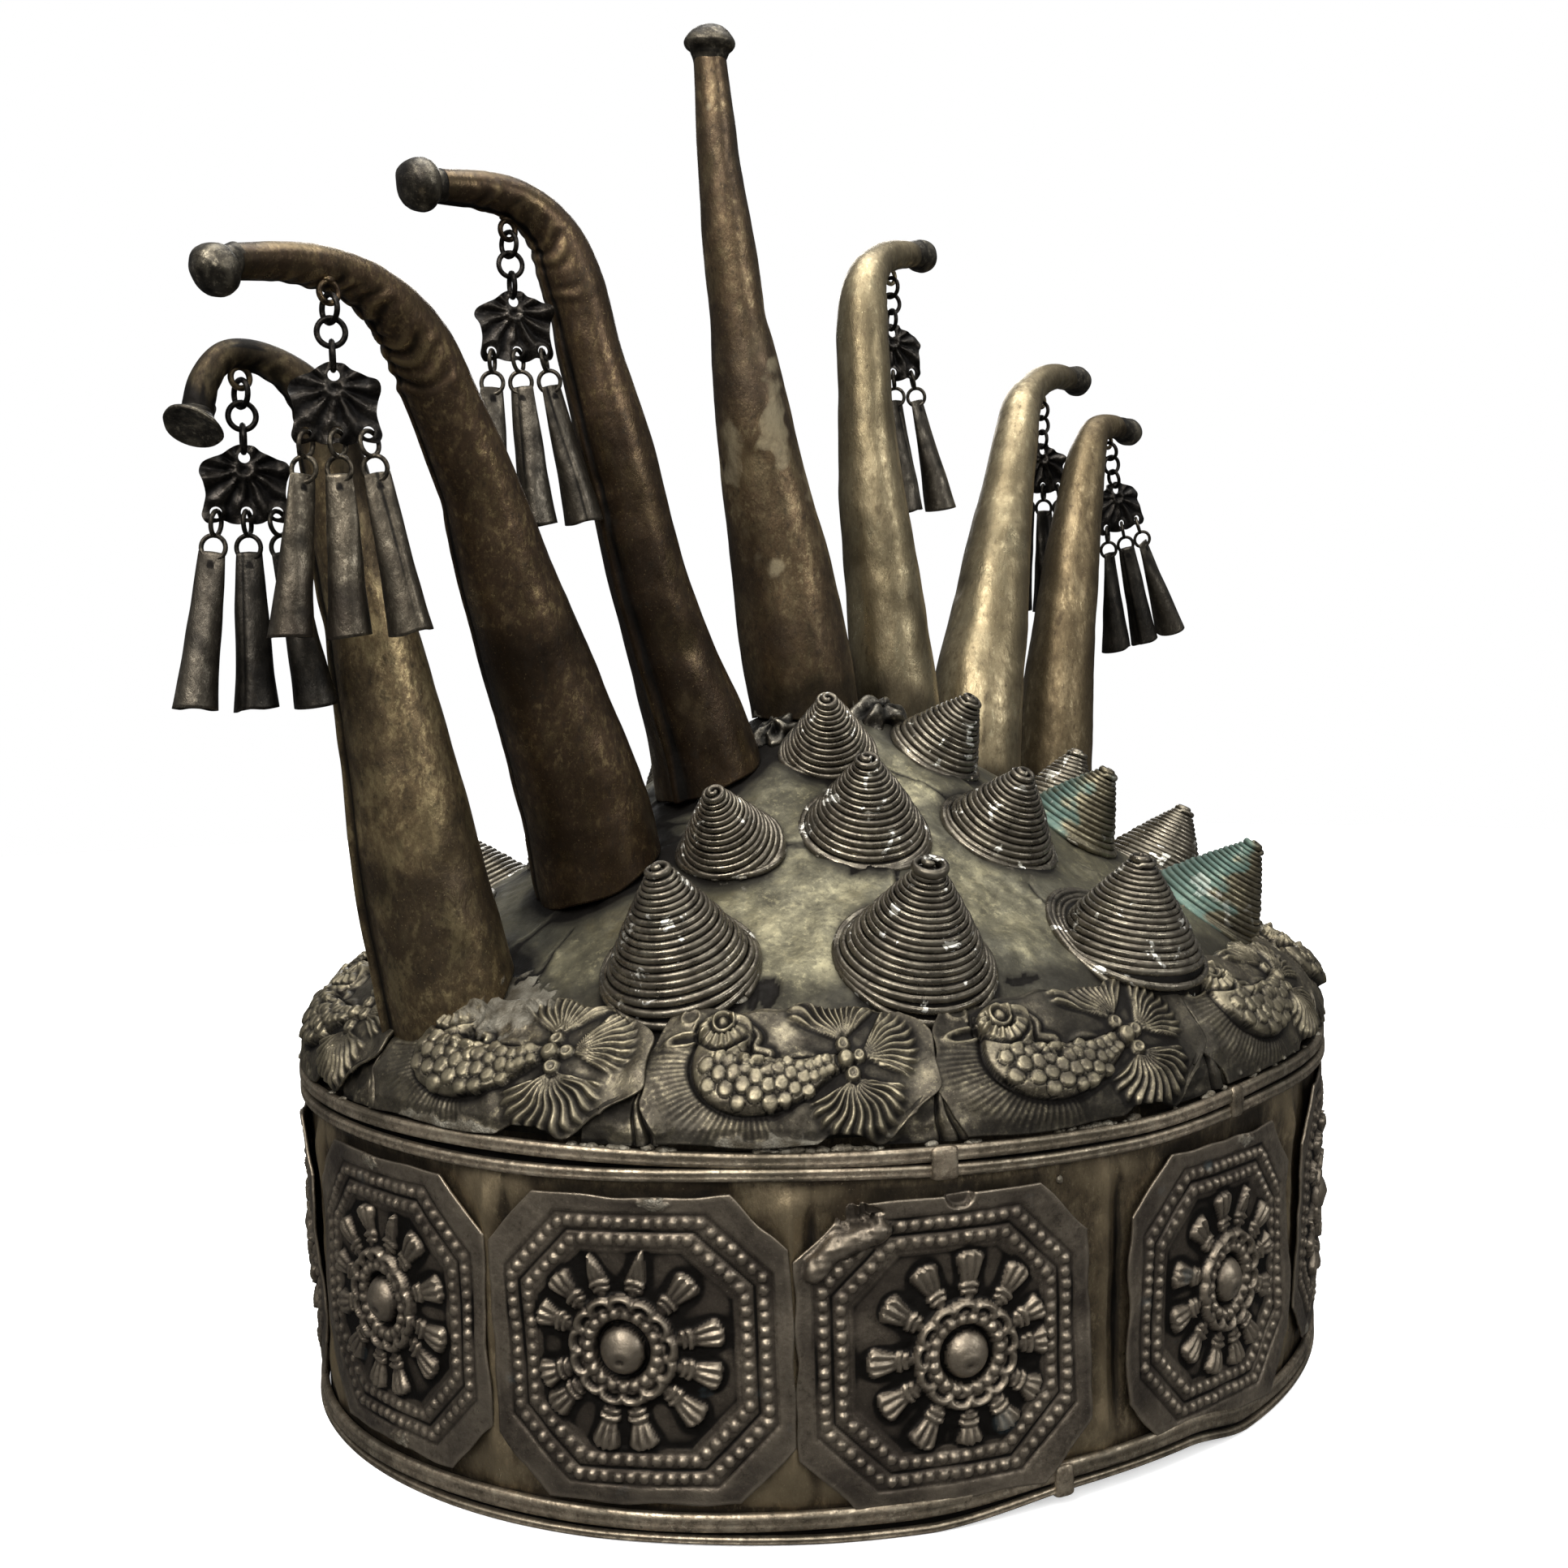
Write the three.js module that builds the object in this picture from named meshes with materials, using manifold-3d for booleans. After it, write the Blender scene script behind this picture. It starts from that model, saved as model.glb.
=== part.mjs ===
// Ritual headdress: a sheet-metal cap on an oval plaque band, crowned by a fan of seven horns,
// studded with coiled-wire cones and hung with swinging jingle-bell pendants.
// Millimetres, +Z up. Origin: centre of the head opening in the plane of the base rings.
// X runs along the fan of horns (the oval's long axis), -Y is the front.
import * as THREE from "three";
import { mergeVertices } from "three/addons/utils/BufferGeometryUtils.js";
import Module from "manifold-3d";

const wasm = await Module();
wasm.setup();

// ---------------------------------------------------------------- driving dimensions
const RING_A = 101.3; // semi-axis of the top ring along X, to the wire's centre
const OVAL = 88.7 / 101.3; // width of the oval over its length
const SEGMENTS = 40; // facets round the oval
const WIRE_R = 0.85; // radius of the ring wires
const TOP_WIRE_Z = [52.7, 55.7];
const BASE_WIRE_Z = [-1.4, 1.4];
const BASE_RATIO = 0.98; // the band narrows a little towards its base
const BAND_Z = [-1.2, 56.0];
const BAND_OUT = [98.1, 100.1]; // outer semi-axis at base and top
const BAND_WALL = 0.9;
const GAP = 0.35; // soldered neighbours are kept this far apart
const BELT_Z = [3.4, 51.2];
const PLAQUE_COUNT = 12;
const PLAQUE_SIZE = 46;
const PLAQUE_CORNER = 12.5;
// where the hand-set plaques sit, in twelfths of the oval: the middles of the octagons, the edges of the fish
const PLAQUE_AT = [0, 1.03, 2, 3.02, 3.98, 4.98, 5.97, 6.905, 7.845, 8.93, 9.98, 11];
const FISH_AT = [0, 1, 2, 3, 4, 4.98, 5.93, 6.93, 7.82, 8.87, 9.93, 10.95, 12];
const BELT_SPLIT = [5.475, 11.5]; // the front belt runs from the first to the second
const CAP_OUT = [
  [0, 117], [15, 114], [30, 105], [60, 87], [75, 79], [83.5, 73.6],
  [91, 66.9], [97, 62.0], [98.9, 56.4],
];
const CAP_IN = [
  [98.0, 56.4], [96.1, 61.4], [82.6, 72.4], [59.4, 86.1], [29.4, 104.1], [14.4, 113.1], [0, 116],
];
const FRIEZE_OUT = [[100.6, 57.2], [99.9, 61.4], [96.4, 66.0], [86.8, 72.8]];
const FRIEZE_IN = [[86.4, 71.8], [95.7, 65.2], [98.9, 61.0], [99.6, 57.2]];
const SEAT = [ // what stands on the cap is trimmed to this surface
  [0, 117.4], [15, 114.4], [30, 105.45], [60, 87.45], [75, 79.45], [83.5, 74.1],
  [86.9, 73.3], [97.9, 67.4], [102.4, 62.6], [103, 50], [0, 50],
];
const HORN_WALL = 0.9;
const HORN_SIDES = 8;
const EYE_R = 1.5, EYE_WIRE = 0.45; // eye that carries a pendant
const LINK_R = 1.95, LINK_WIRE = 0.45; // pendant chain links
const BELL_LINK = [1.7, 3.55, 0.4]; // half width, half height and wire radius of a bell's link
const BELL_RISE = 1.42; // from a bell's hinge line up to the top of its link
const BELL_LENGTH = 22, BELL_TOP_R = 1.25, BELL_BASE_R = 3.3, BELL_WALL = 0.5;
const PLATE_W = 12.8, PLATE_H = 11.6, PLATE_T = 0.7, HOLE_R = 0.9, HOLE_PITCH = 4.3;

// horn centre lines, foot to tip: x, y, z, radius
const HORNS = {
  1: [[-86.5, 0, 69.4, 10.4], [-90.5, 0.1, 86.6, 9.8], [-95, 0.2, 108.4, 8.3], [-98.5, 1, 127.1, 6.72], [-101.7, 1.9, 141.8, 5.63], [-104.1, 2.9, 156.2, 4.34], [-106.7, 3.6, 164.4, 3.33], [-110.9, 4.2, 168.2, 2.53], [-116.4, 4.9, 169.8, 2.13], [-120, 5.2, 169.1, 1.97], [-122.9, 5.6, 165.4, 2.03], [-124, 5.9, 160.7, 2.23], [-124.3, 6, 158.1, 4.25]],
  2: [[-56, 0, 87.2, 10.9], [-59.4, -0.2, 99.8, 10.6], [-64.9, -0.7, 113.7, 9.6], [-70.3, -1.2, 127, 8.6], [-76.4, -2.2, 139.9, 7.29], [-81.9, -3.3, 152.3, 6.18], [-88.6, -4.5, 164, 5.67], [-93.6, -5.8, 171.9, 5.17], [-98.6, -7.1, 176.4, 4.27], [-104.8, -8.3, 179.2, 3.57], [-112.3, -9.7, 180.3, 3.07], [-119.5, -11.1, 179.9, 2.67], [-127.9, -12.4, 178.4, 2.37], [-129.2, -12.7, 178, 3.56], [-132.4, -13.4, 176.8, 3.56], [-133.6, -13.7, 176.4, 2.18]],
  3: [[-30.4, 0, 103.8, 10.1], [-33.1, 0, 112.6, 9.2], [-39.4, 0, 127.1, 7.7], [-44.7, 0, 141.1, 6.8], [-48.5, 0, 154.7, 6.4], [-52.3, 0.6, 168.1, 5.82], [-54.9, 1.2, 177.4, 5.43], [-57.6, 2, 187.9, 5.04], [-61.3, 2.7, 196.1, 4.15], [-67.4, 3.3, 200, 3.35], [-73.5, 3.9, 200.7, 2.95], [-82.5, 4, 199.9, 2.54], [-84, 4, 199.7, 4.07], [-87.8, 4, 198.9, 4.07], [-89.3, 4, 198.5, 2.44]],
  4: [[-5.2, 0, 116.3, 10.4], [-7.4, 0, 127.1, 10.2], [-10.7, 0, 142.2, 9.2], [-14.7, 0, 156.9, 7.9], [-17.9, 0, 171.4, 6.7], [-20.7, 0, 185.7, 5.5], [-23, 0, 199.8, 4.7], [-25, 0, 213.7, 3.8], [-26.9, 0, 231.6, 2.8], [-27.1, 0, 233.2, 4.4], [-27.3, 0, 235.6, 4.4], [-27.4, 0, 237, 2.6]],
  5: [[21.4, 0, 115.7, 8.5], [20, 0.3, 127.1, 8.1], [18.6, 0.9, 143.2, 7.4], [16.9, 1.7, 159.1, 6.5], [17.1, 3.1, 175.2, 5.51], [18.5, 4.7, 191.4, 5.12], [21.6, 6.3, 200.8, 4.12], [27.9, 7.9, 206.1, 3.22], [36.3, 9.5, 208.8, 2.72], [41.8, 10.4, 209.6, 2.52], [42.9, 10.6, 209.7, 3.63], [45.8, 11, 209.8, 3.63], [47.1, 11.2, 209.8, 2.22]],
  6: [[47.4, 0, 111.7, 9.6], [49.5, 0.5, 120.4, 9.4], [53.1, 1.4, 129, 8.8], [58.1, 2.7, 143.5, 7.5], [64.6, 4.4, 158.4, 6.02], [70.9, 6.2, 173.7, 4.81], [75.9, 8.2, 181.4, 4.32], [83.5, 10.1, 186.9, 3.42], [94.4, 12.3, 190.5, 2.81], [102.8, 13.6, 190.8, 2.51], [104, 13.8, 190.7, 3.73], [107.1, 14.3, 190.4, 3.73], [108.3, 14.5, 190.2, 2.22]],
  7: [[75.6, 0, 105.4, 8.5], [77.2, 0.1, 118, 7.9], [79.4, 0.2, 129, 7.2], [83, 0.5, 144.1, 6.3], [87.1, 0.7, 159.4, 5.2], [90.8, 1, 171.1, 4.2], [94.6, 1.3, 176.6, 3.3], [101.7, 1.6, 178.5, 2.6], [106.2, 1.8, 178.1, 2.4], [107.2, 1.9, 178, 3.5], [110, 2, 177.4, 3.5], [111.1, 2, 177.1, 2.2]],
};
// how far each hidden foot runs on down to the cap, as x, z of its lowest point
const HORN_FOOT = { 1: [-84.6, 60], 2: [-53.4, 78], 3: [-27.6, 94], 4: [-3.4, 106], 5: [22.6, 100], 6: [45.2, 84], 7: [73.2, 68] };

// coiled-wire cones: x, y of the seat, axis x, y, z, height, base radius
const CONES = {
  front_low_1: [-67.9, -32.1, -0.37, -0.15, 0.92, 17.1, 11.7],
  front_low_2: [-41.3, -56.7, -0.19, -0.38, 0.9, 16.5, 12.0],
  front_low_3: [-2.4, -69.6, -0.05, -0.25, 0.97, 15.5, 12.6],
  front_low_4: [41.8, -58.3, 0.27, -0.51, 0.82, 15.0, 11.2],
  front_low_5: [63.0, -32.8, 0.41, -0.29, 0.87, 15.0, 11.2],
  front_mid_1: [-44.6, -19.7, -0.6, -0.33, 0.73, 13.6, 8.6],
  front_mid_2: [-25.9, -33.2, -0.32, -0.42, 0.85, 14.4, 10.4],
  front_mid_3: [-1.8, -43.1, -0.07, -0.56, 0.83, 12.6, 10.1],
  front_mid_4: [26.8, -38.1, 0.25, -0.49, 0.84, 12.6, 9.2],
  front_mid_5: [42.4, -23.3, 0.32, -0.22, 0.92, 13.3, 9.2],
  front_top_1: [-16.9, -16.8, -0.48, -0.5, 0.72, 13.6, 8.2],
  front_top_2: [5.8, -22.9, 0.09, -0.6, 0.79, 12.6, 8.6],
  back_low_1: [-66.5, 34.0, -0.42, 0.24, 0.88, 16.4, 11.4],
  back_low_2: [-38.9, 57.8, -0.24, 0.44, 0.86, 16.2, 11.8],
  back_low_3: [1.6, 67.9, 0.02, 0.42, 0.91, 15.8, 12.2],
  back_low_4: [41.0, 57.2, 0.26, 0.46, 0.85, 15.6, 11.4],
  back_low_5: [64.6, 34.4, 0.42, 0.28, 0.87, 15.2, 11.2],
  back_mid_1: [-44.0, 22.4, -0.46, 0.3, 0.84, 13.8, 9.0],
  back_mid_2: [-23.4, 37.2, -0.22, 0.46, 0.86, 14.0, 9.8],
  back_mid_3: [2.4, 42.6, 0.03, 0.5, 0.87, 13.4, 9.8],
  back_mid_4: [26.4, 37.0, 0.26, 0.46, 0.85, 13.2, 9.4],
  back_mid_5: [45.0, 23.6, 0.38, 0.28, 0.88, 13.0, 9.0],
};
// pendants: hinge point (middle of the eye's lower wire), tilt in the fan's plane, turn of the plate,
// tilt of each of its three bells, degrees
const PENDANTS = {
  1: { at: [-117.5, 5.2, 164.9], tilt: 1, turn: -25, bells: [-9, 0, 9] },
  2: { at: [-113.1, -11.9, 175.0], tilt: 2, turn: -30, bells: [-8, 0, 9] },
  3: { at: [-68.9, 4.5, 193.8], tilt: 4, turn: -25, bells: [-4.5, 2.5, 10] },
  5: { at: [32.4, 9.2, 202.1], tilt: 2, turn: -22, bells: [-4, 4, 12] },
  6: { at: [89.6, 12.9, 182.9], tilt: 2, turn: -18, bells: [-8, 0, 9] },
  7: { at: [100.2, 1.6, 173.4], tilt: 17, turn: -22, bells: [-7, 1.5, 9] },
};

// ---------------------------------------------------------------- finishes
const finish = (color, roughness, metalness) =>
  new THREE.MeshStandardMaterial({ color, roughness, metalness });
const CAP_METAL = finish(0x6b634c, 0.45, 0.9);
const PLAQUE_METAL = finish(0x5a5142, 0.5, 0.85);
const WIRE_METAL = finish(0x5c5546, 0.45, 0.9);
const HORN_DARK = finish(0x4f4436, 0.42, 0.9);
const HORN_LIGHT = finish(0x857757, 0.4, 0.9);
const CONE_METAL = finish(0x3f3a33, 0.3, 0.95);
const CONE_PATINA = finish(0x4e6660, 0.55, 0.7);
const BELL_METAL = finish(0x3a3733, 0.45, 0.9);

// ---------------------------------------------------------------- solids
function solid(geometry) {
  const g = geometry.index ? geometry.toNonIndexed() : geometry;
  const bare = new THREE.BufferGeometry().setAttribute("position", g.getAttribute("position"));
  const merged = mergeVertices(bare, 1e-4);
  const tri = [];
  for (let i = 0; i < merged.index.count; i += 3) {
    const [a, b, c] = [0, 1, 2].map((k) => merged.index.getX(i + k));
    if (a !== b && b !== c && c !== a) tri.push(a, b, c);
  }
  const build = (t) =>
    new wasm.Manifold(
      new wasm.Mesh({ numProp: 3, vertProperties: merged.attributes.position.array, triVerts: new Uint32Array(t) }),
    );
  const made = build(tri);
  if (made.volume() > 0) return made;
  for (let i = 0; i < tri.length; i += 3) [tri[i + 1], tri[i + 2]] = [tri[i + 2], tri[i + 1]];
  return build(tri);
}
const join = (...parts) => parts.reduce((a, b) => a.add(b));

function meshOf(name, made, material) {
  const m = made.simplify(0.01).getMesh();
  const position = new Float32Array(m.numVert * 3);
  for (let i = 0; i < m.numVert; i++)
    position.set(m.vertProperties.subarray(i * m.numProp, i * m.numProp + 3), i * 3);
  const g = new THREE.BufferGeometry()
    .setAttribute("position", new THREE.BufferAttribute(position, 3))
    .setIndex(new THREE.BufferAttribute(m.triVerts, 1));
  g.computeVertexNormals();
  const mesh = new THREE.Mesh(g, material);
  mesh.name = name;
  return mesh;
}

// A skin through rings of points; the ends are fanned shut, or the last ring meets the first.
function skin(rings, loop = false) {
  const p = [];
  const n = rings[0].length;
  const quad = (a, b, c, d) => p.push(a, b, c, a, c, d);
  const last = loop ? rings.length : rings.length - 1;
  for (let i = 0; i < last; i++) {
    const r = rings[i], s = rings[(i + 1) % rings.length];
    for (let j = 0; j < n; j++) quad(r[j], r[(j + 1) % n], s[(j + 1) % n], s[j]);
  }
  if (!loop)
    [rings[0], rings[rings.length - 1]].forEach((r, e) => {
      const mid = r.reduce((a, b) => a.clone().add(b), new THREE.Vector3()).divideScalar(n);
      for (let j = 0; j < n; j++)
        e ? p.push(r[j], r[(j + 1) % n], mid) : p.push(r[(j + 1) % n], r[j], mid);
    });
  return solid(new THREE.BufferGeometry().setFromPoints(p));
}

// An oval solid of revolution: a lathe squeezed along Y.
function oval(profile, segments = SEGMENTS) {
  const g = new THREE.LatheGeometry(profile.map(([r, z]) => new THREE.Vector2(r, z)), segments);
  g.rotateX(Math.PI / 2);
  g.scale(1, OVAL, 1);
  return solid(g);
}
const closed = (profile) => [...profile, profile[0]];

// Points at equal arc lengths round an oval of semi-axis a.
function ovalPoint(share, a) {
  const N = 1440;
  const b = a * OVAL;
  const at = (i) => [a * Math.cos((2 * Math.PI * i) / N), b * Math.sin((2 * Math.PI * i) / N)];
  const length = [0];
  for (let i = 1; i <= N; i++) {
    const [x0, y0] = at(i - 1), [x1, y1] = at(i);
    length.push(length[i - 1] + Math.hypot(x1 - x0, y1 - y0));
  }
  const want = (((share % 1) + 1) % 1) * length[N];
  let i = 0;
  while (length[i + 1] < want) i++;
  const t = (2 * Math.PI * (i + (want - length[i]) / (length[i + 1] - length[i]))) / N;
  const tangent = new THREE.Vector3(-a * Math.sin(t), b * Math.cos(t), 0).normalize();
  return {
    p: new THREE.Vector3(a * Math.cos(t), b * Math.sin(t), 0),
    tangent,
    normal: new THREE.Vector3(tangent.y, -tangent.x, 0),
  };
}
// Matrix with local x along the tangent, y up and z outwards.
const frameAt = ({ tangent, normal }, origin) =>
  new THREE.Matrix4().makeBasis(tangent, new THREE.Vector3(0, 0, 1), normal.clone().negate().negate()).setPosition(origin);

const bandOut = (z) =>
  BAND_OUT[0] + ((z - BAND_Z[0]) / (BAND_Z[1] - BAND_Z[0])) * (BAND_OUT[1] - BAND_OUT[0]);

// ---------------------------------------------------------------- cap, band and rings
const seat = oval(SEAT);
const cap = oval([...CAP_OUT, ...CAP_IN]);
const band = oval(closed([
  [bandOut(BAND_Z[0]) - BAND_WALL, BAND_Z[0]], [bandOut(BAND_Z[0]), BAND_Z[0]],
  [bandOut(BAND_Z[1]), BAND_Z[1]], [bandOut(BAND_Z[1]) - BAND_WALL, BAND_Z[1]],
]));

function ringPair(a, heights) {
  const h = WIRE_R, w = WIRE_R * 1.15;
  const wires = heights.map((z) =>
    oval(closed([[a - w, z], [a - w / 2, z - h], [a + w / 2, z - h], [a + w, z], [a, z + h]])));
  const clips = [];
  for (let k = 0; k < PLAQUE_COUNT; k += 2) {
    const f = ovalPoint((k + 0.5) / PLAQUE_COUNT, a);
    const box = new THREE.BoxGeometry(2.4, heights[1] - heights[0], 1.5);
    box.applyMatrix4(frameAt(f, f.p.clone().addScaledVector(f.normal, 0.1).setZ((heights[0] + heights[1]) / 2)));
    clips.push(solid(box));
  }
  return join(...wires, ...clips);
}
const topRings = ringPair(RING_A, TOP_WIRE_Z);
const baseRings = ringPair(RING_A * BASE_RATIO, BASE_WIRE_Z);

// ---------------------------------------------------------------- plaque belt
// Soldered up from a front and a back run of six plaques; each plaque is a raised octagon with a boss.
function beltRun(first, from, to) {
  const edge = PLAQUE_SIZE / 2, corner = edge - PLAQUE_CORNER, mid = (BELT_Z[0] + BELT_Z[1]) / 2;
  const rings = [];
  const section = (share, proud, low, centre) => {
    const f = ovalPoint(share / PLAQUE_COUNT, 100);
    const at = (z, out) => f.p.clone().multiplyScalar((bandOut(z) + out) / 100).setZ(z);
    const base = GAP + 0.65;
    rings.push([
      at(BELT_Z[0], GAP), at(BELT_Z[0], base), at(mid - low, base + proud), at(mid - 6, base + proud),
      at(mid, base + proud + centre), at(mid + 6, base + proud), at(mid + low, base + proud), at(BELT_Z[1], base), at(BELT_Z[1], GAP),
    ]);
  };
  const pitch = 49.4; // mm of arc per plaque
  section(from + 0.003, 0, corner, 0);
  for (let i = first; i < first + 6; i++) {
    const k = PLAQUE_AT[i];
    if (i > first) section((k + PLAQUE_AT[i - 1]) / 2, 0, corner, 0);
    section(k - edge / pitch, 0.7, corner, 0);
    section(k - corner / pitch, 0.7, edge - 0.4, 0);
    section(k, 0.7, edge - 0.4, 1.2);
    section(k + corner / pitch, 0.7, edge - 0.4, 0);
    section(k + edge / pitch, 0.7, corner, 0);
  }
  section(to - 0.003, 0, corner, 0);
  return skin(rings);
}
const frontBelt = beltRun(6, ...BELT_SPLIT);
const backBelt = beltRun(0, BELT_SPLIT[1] - PLAQUE_COUNT, BELT_SPLIT[0]);

// ---------------------------------------------------------------- fish frieze
// A ring of twelve plaques lapped over the cap's shoulder, each swelling into a fish's body and tail.
function fishRing() {
  const rings = [];
  const swell = [[0, 0], [1.5, 1.2], [1.7, 1.2], [0.5, 0.4], [1.3, 1.1]];
  for (let k = 0; k < PLAQUE_COUNT; k++)
    swell.forEach(([lower, upper], j) => {
      const along = FISH_AT[k] + (FISH_AT[k + 1] - FISH_AT[k]) * (0.06 + j / swell.length);
      const f = ovalPoint(along / PLAQUE_COUNT, 100);
      const at = ([r, z], out = 0) => f.p.clone().multiplyScalar((r + out) / 100).setZ(z + out * 0.5);
      rings.push([
        at(FRIEZE_OUT[0]), at(FRIEZE_OUT[1], lower), at(FRIEZE_OUT[2], upper), at(FRIEZE_OUT[3]),
        ...FRIEZE_IN.map((q) => at(q)),
      ]);
    });
  return skin(rings, true);
}
const frieze = fishRing();

// ---------------------------------------------------------------- horns
function ringAt(c, t, r, sides, phase = 0) {
  const u = new THREE.Vector3(0, 1, 0).addScaledVector(t, -t.y).normalize();
  const v = new THREE.Vector3().crossVectors(t, u);
  return Array.from({ length: sides }, (_, i) => {
    const a = (2 * Math.PI * (i + phase)) / sides;
    return c.clone().addScaledVector(u, r * Math.cos(a)).addScaledVector(v, r * Math.sin(a));
  });
}
function torus(centre, normal, R, wire, segments, sides, squash = 1) {
  const r = sides === 4 ? wire * 1.25 : wire; // a square section of the wire's own area
  const n = normal.clone().normalize();
  const up = Math.abs(n.z) > 0.9 ? new THREE.Vector3(1, 0, 0) : new THREE.Vector3(0, 0, 1);
  const u = up.addScaledVector(n, -up.dot(n)).normalize();
  const v = new THREE.Vector3().crossVectors(n, u);
  const rings = [];
  for (let i = 0; i < segments; i++) {
    const a = (2 * Math.PI * i) / segments;
    const out = u.clone().multiplyScalar(Math.cos(a)).addScaledVector(v, Math.sin(a));
    const mid = centre.clone().addScaledVector(u, R * squash * Math.cos(a)).addScaledVector(v, R * Math.sin(a));
    rings.push(Array.from({ length: sides }, (_, j) => {
      const b = (2 * Math.PI * (j + 0.5)) / sides;
      return mid.clone().addScaledVector(out, r * Math.cos(b)).addScaledVector(n, r * Math.sin(b));
    }));
  }
  return skin(rings, true);
}

function horn(id) {
  const rows = HORNS[id];
  const [fx, fz] = HORN_FOOT[id];
  const all = [[fx, 0, fz, rows[0][3] * 1.02], ...rows];
  const pts = all.map(([x, y, z]) => new THREE.Vector3(x, y, z));
  const tan = pts.map((_, i) =>
    pts[Math.min(i + 1, pts.length - 1)].clone().sub(pts[Math.max(i - 1, 0)]).normalize());
  const outer = pts.map((c, i) => ringAt(c, tan[i], all[i][3], HORN_SIDES));
  const inner = [];
  for (let i = 0; i < pts.length && all[i][3] > 4.6; i += i ? 2 : 1)
    inner.push(ringAt(pts[i], tan[i], all[i][3] - HORN_WALL, HORN_SIDES));
  let made = skin([...inner.reverse(), ...outer]);
  const pendant = PENDANTS[id];
  if (pendant) {
    const { at, down } = pendantFrame(pendant);
    made = made.add(torus(at.clone().addScaledVector(down, -EYE_R), new THREE.Vector3(0, 1, 0), EYE_R, EYE_WIRE, 8, 4));
  }
  return made.subtract(seat);
}

// ---------------------------------------------------------------- pendants
function pendantFrame({ at, tilt, turn }) {
  const t = THREE.MathUtils.degToRad(tilt);
  const w = THREE.MathUtils.degToRad(turn);
  const down = new THREE.Vector3(Math.sin(t), 0, -Math.cos(t));
  const axis = new THREE.Vector3(Math.cos(t), 0, Math.sin(t)); // the pendant swings about this
  const fore = new THREE.Vector3(0, 1, 0);
  const across = axis.clone().multiplyScalar(Math.cos(w)).addScaledVector(fore, Math.sin(w));
  const face = new THREE.Vector3().crossVectors(down, across); // out of the plate
  return { at: new THREE.Vector3(...at), down, axis, fore, across, face };
}
const CHAIN = { a: 1.2 - LINK_R };
CHAIN.b = CHAIN.a - LINK_R + 0.65 - LINK_R;
CHAIN.c = CHAIN.b - LINK_R + 0.65 - LINK_R;
CHAIN.hole = CHAIN.c - LINK_R + 0.2 - HOLE_R;
CHAIN.top = CHAIN.hole + 1.9;
CHAIN.bell = CHAIN.top - PLATE_H + 0.55; // hinge line of the bells
CHAIN.lower = CHAIN.bell + 0.4 + 0.8;

function plateShape() {
  const w = PLATE_W / 2, t = CHAIN.top, b = CHAIN.top - PLATE_H;
  const s = new THREE.Shape();
  [[-w * 0.8, b], [w * 0.8, b], [w * 0.98, b + 2.4], [w * 0.84, b + 5.4], [w, b + 8.4],
    [w * 0.4, t], [-w * 0.4, t], [-w, b + 8.4], [-w * 0.84, b + 5.4], [-w * 0.98, b + 2.4]].forEach(([x, y], i) =>
    i ? s.lineTo(x, y) : s.moveTo(x, y));
  const hole = (x, y) => {
    const h = new THREE.Path();
    for (let i = 0; i < 6; i++) {
      const a = (-2 * Math.PI * (i + 0.5)) / 6;
      const q = [x + HOLE_R * Math.cos(a), y + HOLE_R * Math.sin(a)];
      i ? h.lineTo(...q) : h.moveTo(...q);
    }
    h.closePath();
    s.holes.push(h);
  };
  hole(0, CHAIN.hole);
  for (const k of [-1, 0, 1]) hole(k * HOLE_PITCH, CHAIN.lower);
  return s;
}

function hanger(pendant) {
  const { at, down, axis, across, face } = pendantFrame(pendant);
  const drop = (h) => at.clone().addScaledVector(down, -h);
  const plate = new THREE.ExtrudeGeometry(plateShape(), { depth: PLATE_T, bevelEnabled: false });
  plate.translate(0, 0, -PLATE_T / 2);
  const up = down.clone().negate();
  plate.applyMatrix4(new THREE.Matrix4().makeBasis(across, up, new THREE.Vector3().crossVectors(across, up)).setPosition(at));
  return join(
    torus(drop(CHAIN.a), axis, LINK_R, LINK_WIRE, 10, 4),
    torus(drop(CHAIN.b), face, LINK_R, LINK_WIRE, 6, 4),
    torus(drop(CHAIN.c), across, LINK_R, LINK_WIRE, 6, 4),
    solid(plate),
  );
}

function bellFrame(pendant, k) {
  const { at, down, across, face } = pendantFrame(pendant);
  const turn = THREE.MathUtils.degToRad(pendant.bells[k]);
  const d = down.clone().multiplyScalar(Math.cos(turn)).addScaledVector(across, Math.sin(turn));
  const axis = across.clone().multiplyScalar(Math.cos(turn)).addScaledVector(down, -Math.sin(turn));
  const pivot = at.clone().addScaledVector(down, -CHAIN.bell).addScaledVector(across, (k - 1) * HOLE_PITCH);
  return { pivot, down: d, axis, face };
}
function bell(pendant, k) {
  const { pivot, down, axis } = bellFrame(pendant, k);
  const [w, h, r] = BELL_LINK;
  const linkCentre = pivot.clone().addScaledVector(down, h - BELL_RISE);
  const link = torus(linkCentre, axis, w, r, 8, 4, h / w);
  const top = 2 * h - BELL_RISE - 0.2; // the bell's narrow end hangs from the link's foot
  const along = (s) => pivot.clone().addScaledVector(down, top + s);
  const outer = [ringAt(along(0), down, BELL_TOP_R * 0.8, 6), ringAt(along(BELL_LENGTH), down, BELL_BASE_R, 6)];
  const inner = [ringAt(along(BELL_LENGTH), down, BELL_BASE_R - BELL_WALL, 6), ringAt(along(4), down, 0.9, 6)];
  return skin([...outer, ...inner]).add(link);
}

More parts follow.
